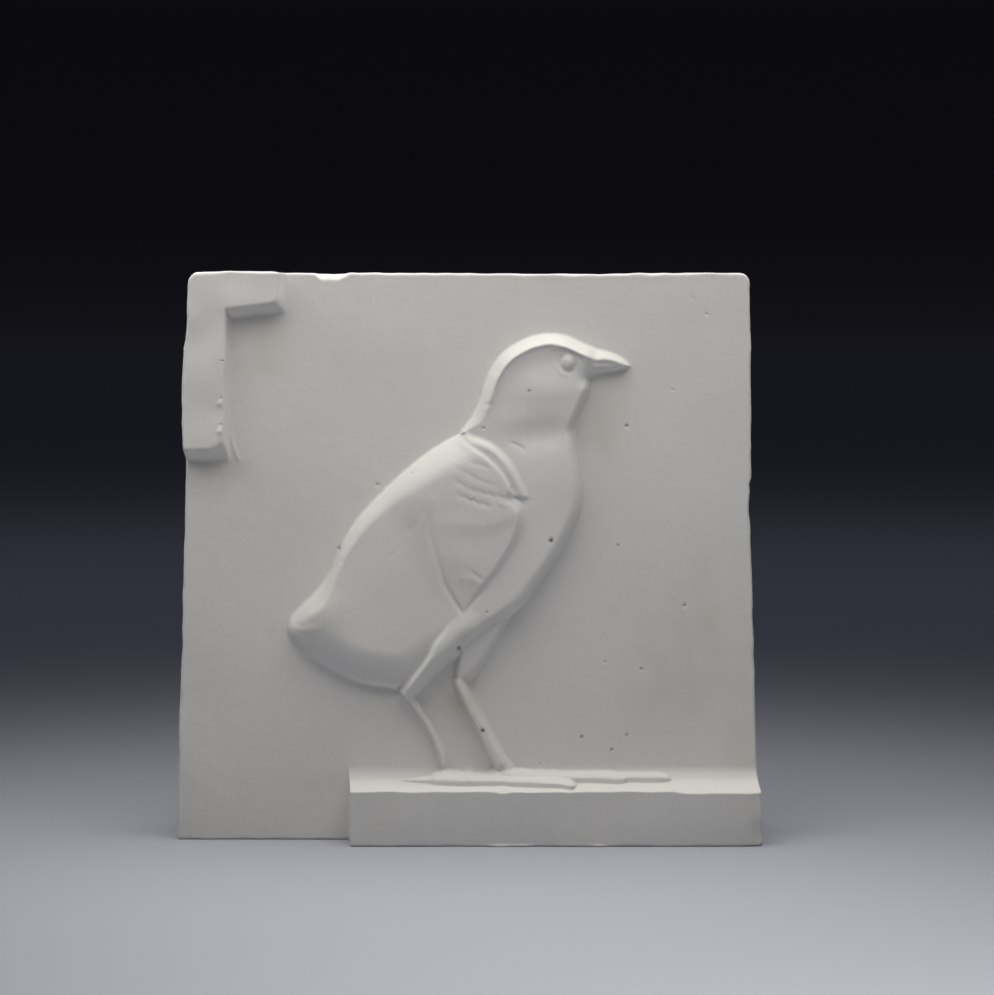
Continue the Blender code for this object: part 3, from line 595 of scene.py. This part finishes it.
def limb(x, z, height, *stretches):
    """A raised form inside a ring of stretches: height times the least rise. Each stretch gives its points,
    the width of its wall and how bowed that is."""
    ring = chained(*[points for points, _, _ in stretches])
    share, least = np.ones(x.shape), np.full(x.shape, FAR)
    for points, width, power in stretches:
        away = to_line(bird_line(points), x, z)[0]
        share = soft_min(share, bow(away / width, power), RIDGE)
        least = np.minimum(least, away)
    return np.where(inside(ring, x, z), height * np.clip(share, 0, None), -STEEP * least)


def thighs(x, z):
    """The near thigh lies over the body and dies out up it; the far one is lower and behind it."""
    up = bird_axes(x, z)[1]
    near = limb(x, z, between(up, NEAR_THIGH_RISE), (NEAR_THIGH_LEFT, 3.6, 1.2), (NEAR_HEEL, 1.5, 1.7),
                (NEAR_THIGH_RIGHT, 6.0, 1.7), (NEAR_THIGH_TOP, 9.0, 1.7))
    far = limb(x, z, between(up, FAR_THIGH_RISE), (FAR_THIGH_LEFT, 1.3, 1.7), (FAR_THIGH_RIGHT, 2.8, 1.7),
               (FAR_THIGH_TOP, 2.5, 1.7))
    return near, far


# Shanks: middle line, half width at either end in millimetres, height, and how much higher the lower left
# half is than the upper right.
SHANKS = [
    ([(-7.2, 18.6), (-5.9, 16.2), (-4.0, 13.2), (-2.3, 10.2), (-0.9, 7.2), (0.1, 4.6), (0.5, 2.0)],
     (1.1, 1.25), 2.4, 0.5),
    ([(4.0, 21.8), (5.4, 18.5), (7.3, 14.6), (9.2, 10.8), (11.3, 6.8), (13.2, 3.4), (14.4, 2.0)],
     (1.8, 2.0), 3.0, 0.6),
]
SHANK_ROUND = (2.2, 0.6)  # the powers of its round: (1 - share^first)^second
ANKLE_SINK, ANKLE_FROM = 0.3, 0.9


def shanks(x, z):
    """Each shank is nearly half round across, tipped to one side, and sinks into the foot at its end."""
    found = np.full(x.shape, -FAR)
    for points, (above, below), height, tip in SHANKS:
        line = bird_line(points)
        away, along = to_line(line, x, z)
        radius = above + (below - above) * along
        way = line[-1] - line[0]
        side = ((x - line[0, 0]) * -way[1] + (z - line[0, 1]) * way[0]) / np.hypot(*way)
        share = np.clip(away / radius, 0, 1)
        tipped = 1 - tip * np.sign(side) * share * (1 - share)
        round_rise = height * tipped * (1 - share ** SHANK_ROUND[0]) ** SHANK_ROUND[1]
        round_rise *= 1 - ANKLE_SINK * ease((along - ANKLE_FROM) / (1 - ANKLE_FROM))
        found = np.maximum(found, np.where(away < radius, round_rise, -STEEP * (away - radius)))
    return found


# Toes and feet lying on the ledge: (x, how far out the front face stands, how high the back rises), in
# hundredths of the bird's height, millimetres and millimetres.
FEET = [
    [(-10.0, 2.2, 0.15), (-6.0, 3.4, 0.5), (-2.6, 4.4, 1.0), (-1.4, 5.6, 2.0), (1.0, 6.2, 3.0),
     (4.0, 6.3, 2.5), (9.0, 6.2, 2.0), (13.5, 6.0, 1.7), (16.0, 6.6, 1.8), (19.0, 6.9, 1.8), (22.0, 7.2, 1.9),
     (26.0, 7.8, 1.8), (28.6, 8.9, 1.4), (30.4, 9.6, 0.6)],
    [(9.0, 2.8, 1.0), (12.0, 3.6, 2.6), (15.0, 3.8, 2.8), (20.0, 3.7, 2.2), (27.0, 3.7, 1.9),
     (34.0, 3.9, 1.9), (39.0, 4.4, 1.8), (41.2, 4.2, 1.3), (42.2, 3.4, 0.6)],
    [(29.0, 3.0, 1.0), (38.0, 3.2, 1.3), (44.0, 3.4, 1.5), (48.0, 3.5, 1.4), (50.6, 3.2, 1.0),
     (52.0, 2.4, 0.3)],
]
TOE_WAVE = (0.08, 6.0, 31)
TOE_ENDS = (2.0, 1.6)  # how far a foot rounds off at its left and right end
TOE_ROUND = 0.6
TOE_FACE = 1.0  # height of the upright front face
TOE_DEPTH = 0.3  # how far a toe goes down behind the ledge's top
FOOT_THICKNESS = 0.8
LEDGE_FALL = 1.9  # of the ledge's top, from the field to its front edge


def feet(x, z):
    """Each foot has an upright front face over the ledge's top, then rounds back to the field: out times
    a power of 1 minus the share of the rise squared. Past its ends it falls away below the field."""
    found = np.full(x.shape, -FAR)
    right = bird_axes(x, z)[0]
    for foot in FEET:
        at, out, thick = np.array(foot).T
        far_out = np.interp(right, at, out) + uneven(TOE_WAVE, x) * (right > at[0])
        rise = FOOT_THICKNESS * np.interp(right, at, thick)
        past = UNIT * np.maximum(at[0] - right, right - at[-1])
        ends = bow((right - at[0]) / TOE_ENDS[0]) * bow((at[-1] - right) / TOE_ENDS[1])
        stand = LEDGE_HEIGHT - LEDGE_FALL * far_out / LEDGE_DEPTH + TOE_FACE * np.clip(rise, 0, 1)
        up = np.clip((z - stand) / rise, 0, 1)
        height = far_out * ends * (1 - up**2) ** TOE_ROUND
        height -= STEEP * np.clip(stand - TOE_FACE - TOE_DEPTH - z, 0, None)
        height = np.where(z < stand + rise, height, -STEEP * (z - stand - rise))
        found = np.maximum(found, np.where(past < 0, height, -STEEP * past))
    return found


LEDGE_END = (-30.9, -30.3)  # foot and top of the ledge's left end
# Chips bitten down into the front edge, then thin lips of plaster at its foot: x, reach, millimetres.
LEDGE_CHIPS = [(9.2, 3.4, 0.6), (26.4, 2.2, 0.3), (60.0, 5.0, 0.35), (-25, 3.0, 0.15)]
LIPS = [(8.0, 4.5, 0.85), (14.5, 3.0, 0.75), (34.0, 2.6, 0.8)]
CHIP_LEVEL = 1.9  # how far a chip runs back for each millimetre that it rises
LEAST_BITE = 0.03
LIP_HIGH = 0.75
FILLET_DROP = 0.6  # how much lower the top starts, under its fillet
FILLET_SLOPE = 2.2  # of the ledge carried on above its top
FILLET_TURN = 0.7  # over which that slope turns into the top's own
LEDGE_UNDERCUT = 0.6  # how far the foot of the front lies behind its top
WORN_FROM, WORN_BACK = 72.8, 0.16  # the right end of the front is worn back, by so much for each millimetre
LOW_FROM, LOW_OVER, LOW_BY = 53, 3, 0.35  # the front edge is lower at the right
EDGE_WAVE, FRONT_WAVE = (0.06, 14.0, 21), (0.05, 26.0, 22)
END_WAVE, WORN_WAVE = (0.25, 6.0, 23), (0.4, 7.0, 24)
TOP_EDGE_SOFT, END_SOFT, CHIP_SOFT = 1.8, 0.8, 0.2


def bumps(x, table):
    """Narrow bells along a line, summed: place, reach, height."""
    return sum(rise * bell((x - at) / reach) ** 2 for at, reach, rise in table)


def ledge(x, z):
    """The ledge's top falls from the field to its front edge, its end is a steep short slope, small chips
    bite down into the front edge, and thin lips stand out at the foot.

    Above the top it is carried on at a lower slope, which turns into the top's own by a square of the height,
    so that the field runs down into it in a tall fillet.
    """
    bite = bumps(x, LEDGE_CHIPS)
    top = LEDGE_HEIGHT - LEDGE_FALL + uneven(EDGE_WAVE, x) - LOW_BY * ease((x - LOW_FROM) / LOW_OVER)
    start = LEDGE_HEIGHT - FILLET_DROP
    below = np.clip(start - z + FILLET_TURN, 0, 2 * FILLET_TURN) ** 2 / (4 * FILLET_TURN)
    below += np.clip(start - z - FILLET_TURN, 0, None)
    slope = FILLET_SLOPE * (start - z) + (LEDGE_DEPTH / (start - top) - FILLET_SLOPE) * below
    front = LEDGE_DEPTH + uneven(FRONT_WAVE, x, z) - LEDGE_UNDERCUT * (1 - z / top)
    front -= WORN_BACK * np.clip(x - WORN_FROM, 0, None) * (1 + uneven(WORN_WAVE, z))
    front += bumps(x, LIPS) * ease(1 - z / LIP_HIGH)
    end = LEDGE_DEPTH * (x - LEDGE_END[0]) / (LEDGE_END[1] - LEDGE_END[0]) + uneven(END_WAVE, z)
    whole = soft_min(soft_min(slope, front, TOP_EDGE_SOFT), end, END_SOFT)
    chipped = soft_min(whole, front - CHIP_LEVEL * (z - top + bite), CHIP_SOFT)
    return np.where(bite > LEAST_BITE, chipped, whole)


# The border: (place along, place across) of the foot and the upper edge of each inner side.
POST_FOOT, POST_TOP = [(104, -61.9), (138, -61.4)], [(104, -63.1), (121, -62.7), (139, -62.4)]
ARM_FOOT, ARM_TOP = [(-62, 137.0), (-47.3, 138.2)], [(-62.4, 138.7), (-55, 139.6), (-48.9, 140.6)]
END_FOOT, END_TOP = [(138, -47.3), (148, -47.2)], [(140, -48.9), (148, -48.4)]
BASE_FOOT, BASE_TOP = [(-73, 100.2), (-61.5, 99.6)], [(-73, 102.5), (-66, 102.6), (-63, 104.4)]
BORDER_RISE = 4.6
BORDER_SOFT, BORDER_MITRE = 0.22, 0.3  # softness of its upper edges, and of where two bevels meet
BORDER_WAVE_X, BORDER_WAVE_Z, BORDER_TOP_WAVE = (0.06, 9.0, 41), (0.06, 9.0, 42), (0.1, 16.0, 43)


def side_share(place, along, foot, top):
    """Share of the way from the foot of a bevel to its upper edge."""
    low, high = between(along, foot), between(along, top)
    return (place - low) / (high - low)


def border(x, z):
    """The raised border: the greater of a post and an arm, each the least of its bevels' shares."""
    wobble_x = x + uneven(BORDER_WAVE_X, z)
    wobble_z = z + uneven(BORDER_WAVE_Z, x)
    post = soft_min(side_share(wobble_x, z, POST_FOOT, POST_TOP),
                    side_share(wobble_z, x, BASE_FOOT, BASE_TOP), BORDER_MITRE)
    arm = soft_min(side_share(wobble_z, x, ARM_FOOT, ARM_TOP),
                   side_share(wobble_x, z, END_FOOT, END_TOP), BORDER_MITRE)
    share = soft_min(np.maximum(post, arm), np.ones(x.shape), BORDER_SOFT)
    top = BORDER_RISE + uneven(BORDER_TOP_WAVE, x, z)
    return np.where(share > -1, share * top, -BORDER_RISE)


# Small lumps: x, z, reach, millimetres. Then a run of plaster below the post, and the long chip in the
# slab's upper edge as (x, millimetres down).
BLOBS = [(-63.8, 114.6, 0.6, 0.4), (-63.9, 107.4, 0.6, 0.4), (0.3, 17.9, 1.0, 0.7), (-9.4, 38.6, 1.0, 0.15)]
STREAK = [(-61.8, 107.0), (-60.8, 103.5), (-59.6, 100.0)]
STREAK_RISE, STREAK_REACH = 0.2, 0.5
TOP_CHIP = [(-40.2, -0.3), (-38.4, 1.6), (-36.6, 1.9), (-33.4, 1.7), (-31.4, 1.2), (-29.6, -0.3)]
TOP_CHIP_MIDDLE, TOP_CHIP_REACH = -35, 6
TOP_CHIP_LEVEL = 1.1  # how far it runs back for each millimetre that it rises
CHIP_WAVE, ROUNDING_WAVE = (0.15, 2.5, 61), (0.25, 8.0, 62)
FACE_WAVES = [(0.07, 44.0, 51), (0.012, 15.0, 52), (0.003, 5.0, 53)]


def pore_shade_of(x, z):
    """How far inside a pore each place is, which sets the strength of the painted shade there. An air bubble
    goes deeper than its mouth, so that little light comes back out of it."""
    total = np.zeros(x.shape)
    for at_x, at_z, reach in PITS:
        away = np.hypot(x - at_x, z - at_z)
        total += between(reach, PORE_SHADE) * bell(away / (PORE_SHADE_WIDTH * reach)) ** 2
    return np.clip(total, 0, 1)


# The fillets at the feet of the body, far thigh, near thigh, shanks, border and ledge, in this order.
FILLETS = (0.5, 0.5, 0.9, 0.5, 0.9, 8.0)
FOOT_FILLET, ANKLE_FILLET, ANKLE_REACH = 0.4, 2.0, 3.5
ANKLES = [(0.5, 2.0), (14.0, 2.6)]


def front_height():
    """Where the front's places are, and how far each stands out from the field.

    The forms are joined one after another, each with its own fillet. Then come lumps, slow waves, pits, the
    chip and the rounding of the edges.
    """
    x, z, edge = slab_plan()
    x, z = drawn_to_pits(x, z)
    outlines = [wall[0] for wall in UPPER_WALLS + LOWER_WALLS]
    outlines += [NEAR_THIGH_LEFT, NEAR_THIGH_RIGHT, NEAR_HEEL, FAR_THIGH_LEFT, FAR_THIGH_RIGHT]
    x, z = snapped(x, z, [bird_line(line) for line in outlines + [COLLAR_OUT, COLLAR_IN]])
    near_thigh, far_thigh = thighs(x, z)
    forms = (trunk(x, z), far_thigh, near_thigh, shanks(x, z), border(x, z), ledge(x, z))
    height = np.zeros(x.shape)
    for form, fillet in zip(forms, FILLETS):
        height = soft_max(height, form, fillet)
    right, up = bird_axes(x, z)
    ankles = sum(bell(np.hypot(right - across, up - high) / ANKLE_REACH) for across, high in ANKLES)
    height = soft_max(height, feet(x, z), FOOT_FILLET + ANKLE_FILLET * ankles)
    for at_x, at_z, reach, rise in BLOBS:
        height += rise * bell(np.hypot(x - at_x, z - at_z) / reach)
    height += STREAK_RISE * bell(to_line(smooth(STREAK), x, z)[0] / STREAK_REACH)
    height += sum(uneven(wave, x, z) for wave in FACE_WAVES)
    for at_x, at_z, reach in PITS:
        height -= PIT_DEPTH * reach * bell(np.hypot(x - at_x, z - at_z) / (PIT_WIDTH * reach)) ** 2
    chip = between(x, TOP_CHIP) + uneven(CHIP_WAVE, x, z)
    in_chip = np.abs(x - TOP_CHIP_MIDDLE) < TOP_CHIP_REACH
    height -= TOP_CHIP_LEVEL * np.clip(z - HEIGHT + chip, 0, None) * in_chip
    rounding = ROUNDING * (1 + uneven(ROUNDING_WAVE, x, z))
    height -= rounding * (1 - bow(edge / rounding))
    return x, z, height


SLIVER = 0.3  # a cell is cut the other way if its triangles are less even than this


def twice_area(x, z, a, b, c):
    """Twice the area of each triangle in the front's plane, from its corners' numbers."""
    return (x[b] - x[a]) * (z[c] - z[a]) - (z[b] - z[a]) * (x[c] - x[a])


def triangles_of_grid(x, z, height):
    """Two triangles to each cell, cut between the corners nearest in height, or the other way where that
    would leave a sliver."""
    index = np.arange(x.size).reshape(x.shape)
    x, z, height = x.ravel(), z.ravel(), height.ravel()
    a, b, c, d = (part.ravel() for part in (index[:-1, :-1], index[:-1, 1:], index[1:, 1:], index[1:, :-1]))
    rising = np.abs(height[a] - height[c]) <= np.abs(height[b] - height[d])
    thin_rising = np.minimum(twice_area(x, z, a, b, c), twice_area(x, z, a, c, d))
    thin_falling = np.minimum(twice_area(x, z, a, b, d), twice_area(x, z, b, c, d))
    sliver = np.minimum(thin_rising, thin_falling) < SLIVER * np.maximum(thin_rising, thin_falling)
    rising = np.where(sliver, thin_rising > thin_falling, rising)[:, None]
    first = np.where(rising, np.column_stack([a, b, c]), np.column_stack([a, b, d]))
    second = np.where(rising, np.column_stack([a, c, d]), np.column_stack([b, c, d]))
    return np.vstack([first, second])


RIM_ROWS = 7
RIM_HOLLOW = 0.09  # how far the sides draw in between front and back
RIM_WAVE = (1.0, 9.0, 71)
BACK_STEP, BACK_MARGIN = 4.5, 2.0
BACK_HOLLOW, BACK_WAVE = 0.2, (0.12, 12.0, 72)
STROKE_STRETCH = 0.35  # draws the back's waves out sideways, as struck off with a straight edge
WELD = 1e-5


def closed_with_back(x, z, y):
    """The rim runs back from the grid's border in rows, then come a chamfer and a back with faint strokes."""
    index = np.arange(x.size).reshape(x.shape)
    loop = np.concatenate([index[0, :-1], index[:-1, -1], index[-1, :0:-1], index[:0:-1, 0]])
    lx, lz, ly = x.ravel()[loop], z.ravel()[loop], y.ravel()[loop]
    way = np.column_stack([np.roll(lx, -1) - np.roll(lx, 1), np.roll(lz, -1) - np.roll(lz, 1)])
    way /= np.linalg.norm(way, axis=1)[:, None]
    inward = np.column_stack([-way[:, 1], way[:, 0]])
    run = np.cumsum(np.hypot(lx - np.roll(lx, 1), lz - np.roll(lz, 1)))
    points, faces = [np.column_stack([x.ravel(), y.ravel(), z.ravel()])], []
    before, total, count = loop, x.size, len(loop)
    for row in range(1, RIM_ROWS + 2):
        share = min(row / RIM_ROWS, 1)
        depth = ly + (BACK - BACK_CHAMFER - ly) * share
        draw_in = RIM_HOLLOW * (1 + uneven(RIM_WAVE, run, depth)) * np.sin(np.pi * share)
        if row > RIM_ROWS:
            depth, draw_in = np.full(count, BACK), np.full(count, BACK_CHAMFER)
        at = np.column_stack([lx, lz]) + inward * draw_in[:, None]
        points.append(np.column_stack([at[:, 0], depth, np.clip(at[:, 1], 0, None)]))
        after = total + np.arange(count)
        total += count
        follow, next_row = np.roll(before, -1), np.roll(after, -1)
        faces += [np.column_stack([before, after, follow]), np.column_stack([follow, after, next_row])]
        before = after
    ring = points[-1][:, [0, 2]]
    lows, highs = ring.min(axis=0) + BACK_STEP, ring.max(axis=0) - BACK_MARGIN
    spread = np.meshgrid(*(np.arange(low, high, BACK_STEP) for low, high in zip(lows, highs)))
    lattice = np.column_stack([places.ravel() for places in spread])
    lattice = lattice[inside(ring, *lattice.T) & (to_line(ring, *lattice.T)[0] > BACK_STEP / 2)]
    flat = [Vector(place) for place in np.vstack([ring, lattice])]
    found, _, back_faces, _, _, _ = delaunay_2d_cdt(flat, [], [list(range(count))], 1, WELD)
    inner = np.array([tuple(place) for place in found[count:]])
    relief = uneven(BACK_WAVE, inner[:, 0] * STROKE_STRETCH, inner[:, 1]) - BACK_HOLLOW
    points.append(np.column_stack([inner[:, 0], BACK + relief, inner[:, 1]]))
    corners = np.array(back_faces)
    corners = np.where(corners < count, before[0] + corners, total - count + corners)
    faces.append(corners[:, ::-1])
    return np.vstack(points), faces


def placed(name, data):
    """A new object in the scene."""
    made = bpy.data.objects.new(name, data)
    bpy.context.scene.collection.objects.link(made)
    return made


# Faint stains: x, z, reach across, reach up, strength.
STAINS = [(52, 42, 11, 14, 0.5), (60, 57, 7, 14, 0.55), (46, 66, 7, 7, 0.2), (38, 112, 6, 9, 0.45),
          (36, 104, 5, 6, 0.35), (-2, 36, 5, 6, 0.6), (-74, 8, 3, 14, 0.5), (72, 30, 4, 25, 0.35),
          (66, 76, 6, 10, 0.2), (-62, 98, 7, 4, 0.5), (-52, 126, 8, 9, 0.45), (-20, 128, 20, 8, 0.15)]
STAIN_EVEN, STAIN_WAVE = 0.8, (0.22, 11.0, 81)


def stain_of(x, z):
    """How stained each place is: soft patches broken up by unevenness."""
    total = np.zeros(x.shape)
    for at_x, at_z, across, up, strength in STAINS:
        total += strength * bell(np.hypot((x - at_x) / across, (z - at_z) / up))
    return np.clip(total * (STAIN_EVEN + uneven(STAIN_WAVE, x, z)), 0, 1)


def settle(made, **settings):
    """Sets a node's properties or, with a capital first, its sockets' values."""
    for name, value in settings.items():
        if name[0].isupper():
            made.inputs[name.replace("_", " ")].default_value = value
        else:
            setattr(made, name, value)


def node(tree, kind, links=(), **settings):
    """Adds a node with these settings. Links are (socket to fill, node, its output)."""
    made = tree.nodes.new(kind)
    settle(made, **settings)
    for socket, source, output in links:
        tree.links.new(source.outputs[output], made.inputs[socket])
    return made


# Noise: millimetres across, detail, roughness. Soft clouds of a yellower white, ripples left by the mould,
# and grit, which is drawn coarser than it is so that it shows.
CLOUDS, RIPPLES, GRIT = (36.0, 5.0, 0.6), (4.8, 3.0, 0.5), (1.1, 3.0, 0.7)
RIPPLE_HEIGHT, GRIT_HEIGHT = 0.25, 0.12


def noise(tree, place, kind):
    """Noise over the piece, with patches of a size in millimetres."""
    size, detail, roughness = kind
    return node(tree, "ShaderNodeTexNoise", [("Vector", place, "Object")], Scale=1 / (size * MM),
                Detail=detail, Roughness=roughness)


def mixed(tree, factor, base, colour, blend="MULTIPLY"):
    """A colour changed by another as far as the factor says."""
    return node(tree, "ShaderNodeMix", [("Factor", factor, "Fac"), ("A", base, "Result")],
                data_type="RGBA", blend_type=blend, B=linear(colour))


def cast_plaster():
    """Plaster of Paris, cast in a mould and left unsealed: white, fine and matte.

    It gives the eye a chalky surface with no gloss, faint yellow-grey stains where it was handled, grit that
    shows only as a soft grain, and painted shade that darkens the colour inside the pores.
    """
    material = bpy.data.materials.new("cast_plaster_of_paris")
    material.use_nodes = True
    tree = material.node_tree
    shader = tree.nodes["Principled BSDF"]
    settle(shader, Roughness=0.88, IOR=1.52, Specular_IOR_Level=0.25)
    place = node(tree, "ShaderNodeTexCoord")
    cloud = noise(tree, place, CLOUDS)
    speck = noise(tree, place, GRIT)
    stain = node(tree, "ShaderNodeAttribute", attribute_name="stain")
    clean = node(tree, "ShaderNodeMix", [("Factor", cloud, "Fac")], data_type="RGBA",
                 A=linear("DFDDD9"), B=linear("E9E7E4"))
    fine = mixed(tree, speck, clean, "F6F5F3")
    dirty = mixed(tree, stain, fine, "F3F0E5")
    # Painted shade: inside the pores the colour is mixed toward a dark grey, as deep holes look dark.
    pore_shade = node(tree, "ShaderNodeAttribute", attribute_name="pore_shade")
    pore_shaded = mixed(tree, pore_shade, dirty, "7C7974", "MIX")
    tree.links.new(pore_shaded.outputs["Result"], shader.inputs["Base Color"])
    grit = node(tree, "ShaderNodeBump", [("Height", speck, "Fac")], Strength=0.25,
                Distance=GRIT_HEIGHT * MM)
    soft = noise(tree, place, RIPPLES)
    ripple = node(tree, "ShaderNodeBump", [("Height", soft, "Fac"), ("Normal", grit, "Normal")],
                  Strength=0.35, Distance=RIPPLE_HEIGHT * MM)
    tree.links.new(ripple.outputs["Normal"], shader.inputs["Normal"])
    return material


# The painted shade of the pores shows on the front only, no further back than this behind the field.
PORE_SHADE_BACK_TO = 2.0  # pores show on the front only, no further back than this behind the field


def plaque_cast():
    """The whole cast as one closed mesh."""
    x, z, height = front_height()
    points, faces = closed_with_back(x, z, FIELD - height)
    mesh = bpy.data.meshes.new("plaque_cast")
    triangles = np.vstack([triangles_of_grid(x, z, height)] + faces)
    mesh.from_pydata((points * MM).tolist(), [], triangles.tolist())
    mesh.shade_smooth()
    across, back, up = points.T
    # How much painted shade darkens the colour in each pore, stored on the points for the material.
    pore_shade = pore_shade_of(across, up) * (back < FIELD + PORE_SHADE_BACK_TO)
    for name, values in (("stain", stain_of(across, up)), ("pore_shade", pore_shade)):
        mesh.attributes.new(name, "FLOAT", "POINT").data.foreach_set("value", values)
    mesh.materials.append(cast_plaster())
    piece = placed("plaque_cast", mesh)
    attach(piece, "root")
    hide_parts("plaster_plaque")


FLOOR_HALF = 60.0  # metres
# The room's shade at each height over the horizon, as the sine of the angle up.
ROOM = [(0.0, "15151B"), (0.011, "111116"), (0.05, "0B0B10"), (0.13, "0A0A0F"), (0.3, "26262D")]


def studio_floor():
    """A large pale board, far wider than the view."""
    at = FLOOR_HALF
    mesh = bpy.data.meshes.new("studio_floor")
    mesh.from_pydata([(-at, -at, 0), (at, -at, 0), (at, at, 0), (-at, at, 0)], [], [(0, 1, 2, 3)])
    material = bpy.data.materials.new("matte_grey_board")
    material.use_nodes = True
    settle(material.node_tree.nodes["Principled BSDF"], Base_Color=linear("AAADB6"), Roughness=0.9,
           Specular_IOR_Level=0.1)
    mesh.materials.append(material)
    floor = placed("studio_floor", mesh)


def camera():
    """The photograph's own view: a long lens, tipped a little down."""
    data = bpy.data.cameras.new("camera")
    data.lens = FOCAL_PIXELS * SENSOR / IMAGE_HIGH
    data.sensor_width = SENSOR
    data.clip_end = 100
    made = placed("camera", data)
    made.location = Vector(VIEW_FROM) * MM
    made.rotation_euler = (np.radians(90 - VIEW_DOWN), 0, 0)
    bpy.context.scene.camera = made


# Lamps: name, place, the place it faces, size, watts, colour, spread in degrees.
LAMPS = [
    ("overhead", (-5, -62, 262), (-5, -62, 0), (360, 240), 0.51, "FFFEFA", 130),
    ("from_left", (-190, -80, 250), (0, 0, 60), (120, 120), 0.014, "FFFEFA", 80),
    ("front_right", (260, -330, 420), (260, -330, 0), (500, 200), 0.54, "FFFEFA", 70),
    ("front", (140, -420, 420), (140, -420, 0), (500, 200), 0.7, "FFFEFA", 70),
    ("back_floor", (0, 600, 800), (0, 600, 0), (2000, 500), 0.93, "DCDDF0", 180),
]


def lights():
    """A soft box close overhead, a weak lamp from the left, two over the floor in front, one over the floor
    behind, and a dark room, faintly lit at the horizon and from high above."""
    for name, place, aim, size, watts, colour, spread in LAMPS:
        data = bpy.data.lights.new(name, "AREA")
        data.shape = "RECTANGLE"
        data.size, data.size_y = (side * MM for side in size)
        data.energy, data.color, data.spread = watts, linear(colour)[:3], np.radians(spread)
        made = placed(name, data)
        made.location = Vector(place) * MM
        made.rotation_euler = (Vector(aim) - Vector(place)).to_track_quat("-Z", "Y").to_euler()
    world = bpy.data.worlds.new("dark_room")
    bpy.context.scene.world = world
    world.use_nodes = True
    tree = world.node_tree
    way = node(tree, "ShaderNodeTexCoord")
    up = node(tree, "ShaderNodeSeparateXYZ", [("Vector", way, "Generated")])
    shade = node(tree, "ShaderNodeValToRGB", [("Fac", up, "Z")])
    for place, colour in ROOM[2:]:
        shade.color_ramp.elements.new(place).color = linear(colour)
    for stop, (place, colour) in zip(shade.color_ramp.elements, ROOM):
        stop.position, stop.color = place, linear(colour)
    tree.links.new(shade.outputs["Color"], tree.nodes["Background"].inputs["Color"])


camera()
plaque_cast()
studio_floor()
lights()
bpy.context.scene.view_settings.view_transform = "Standard"
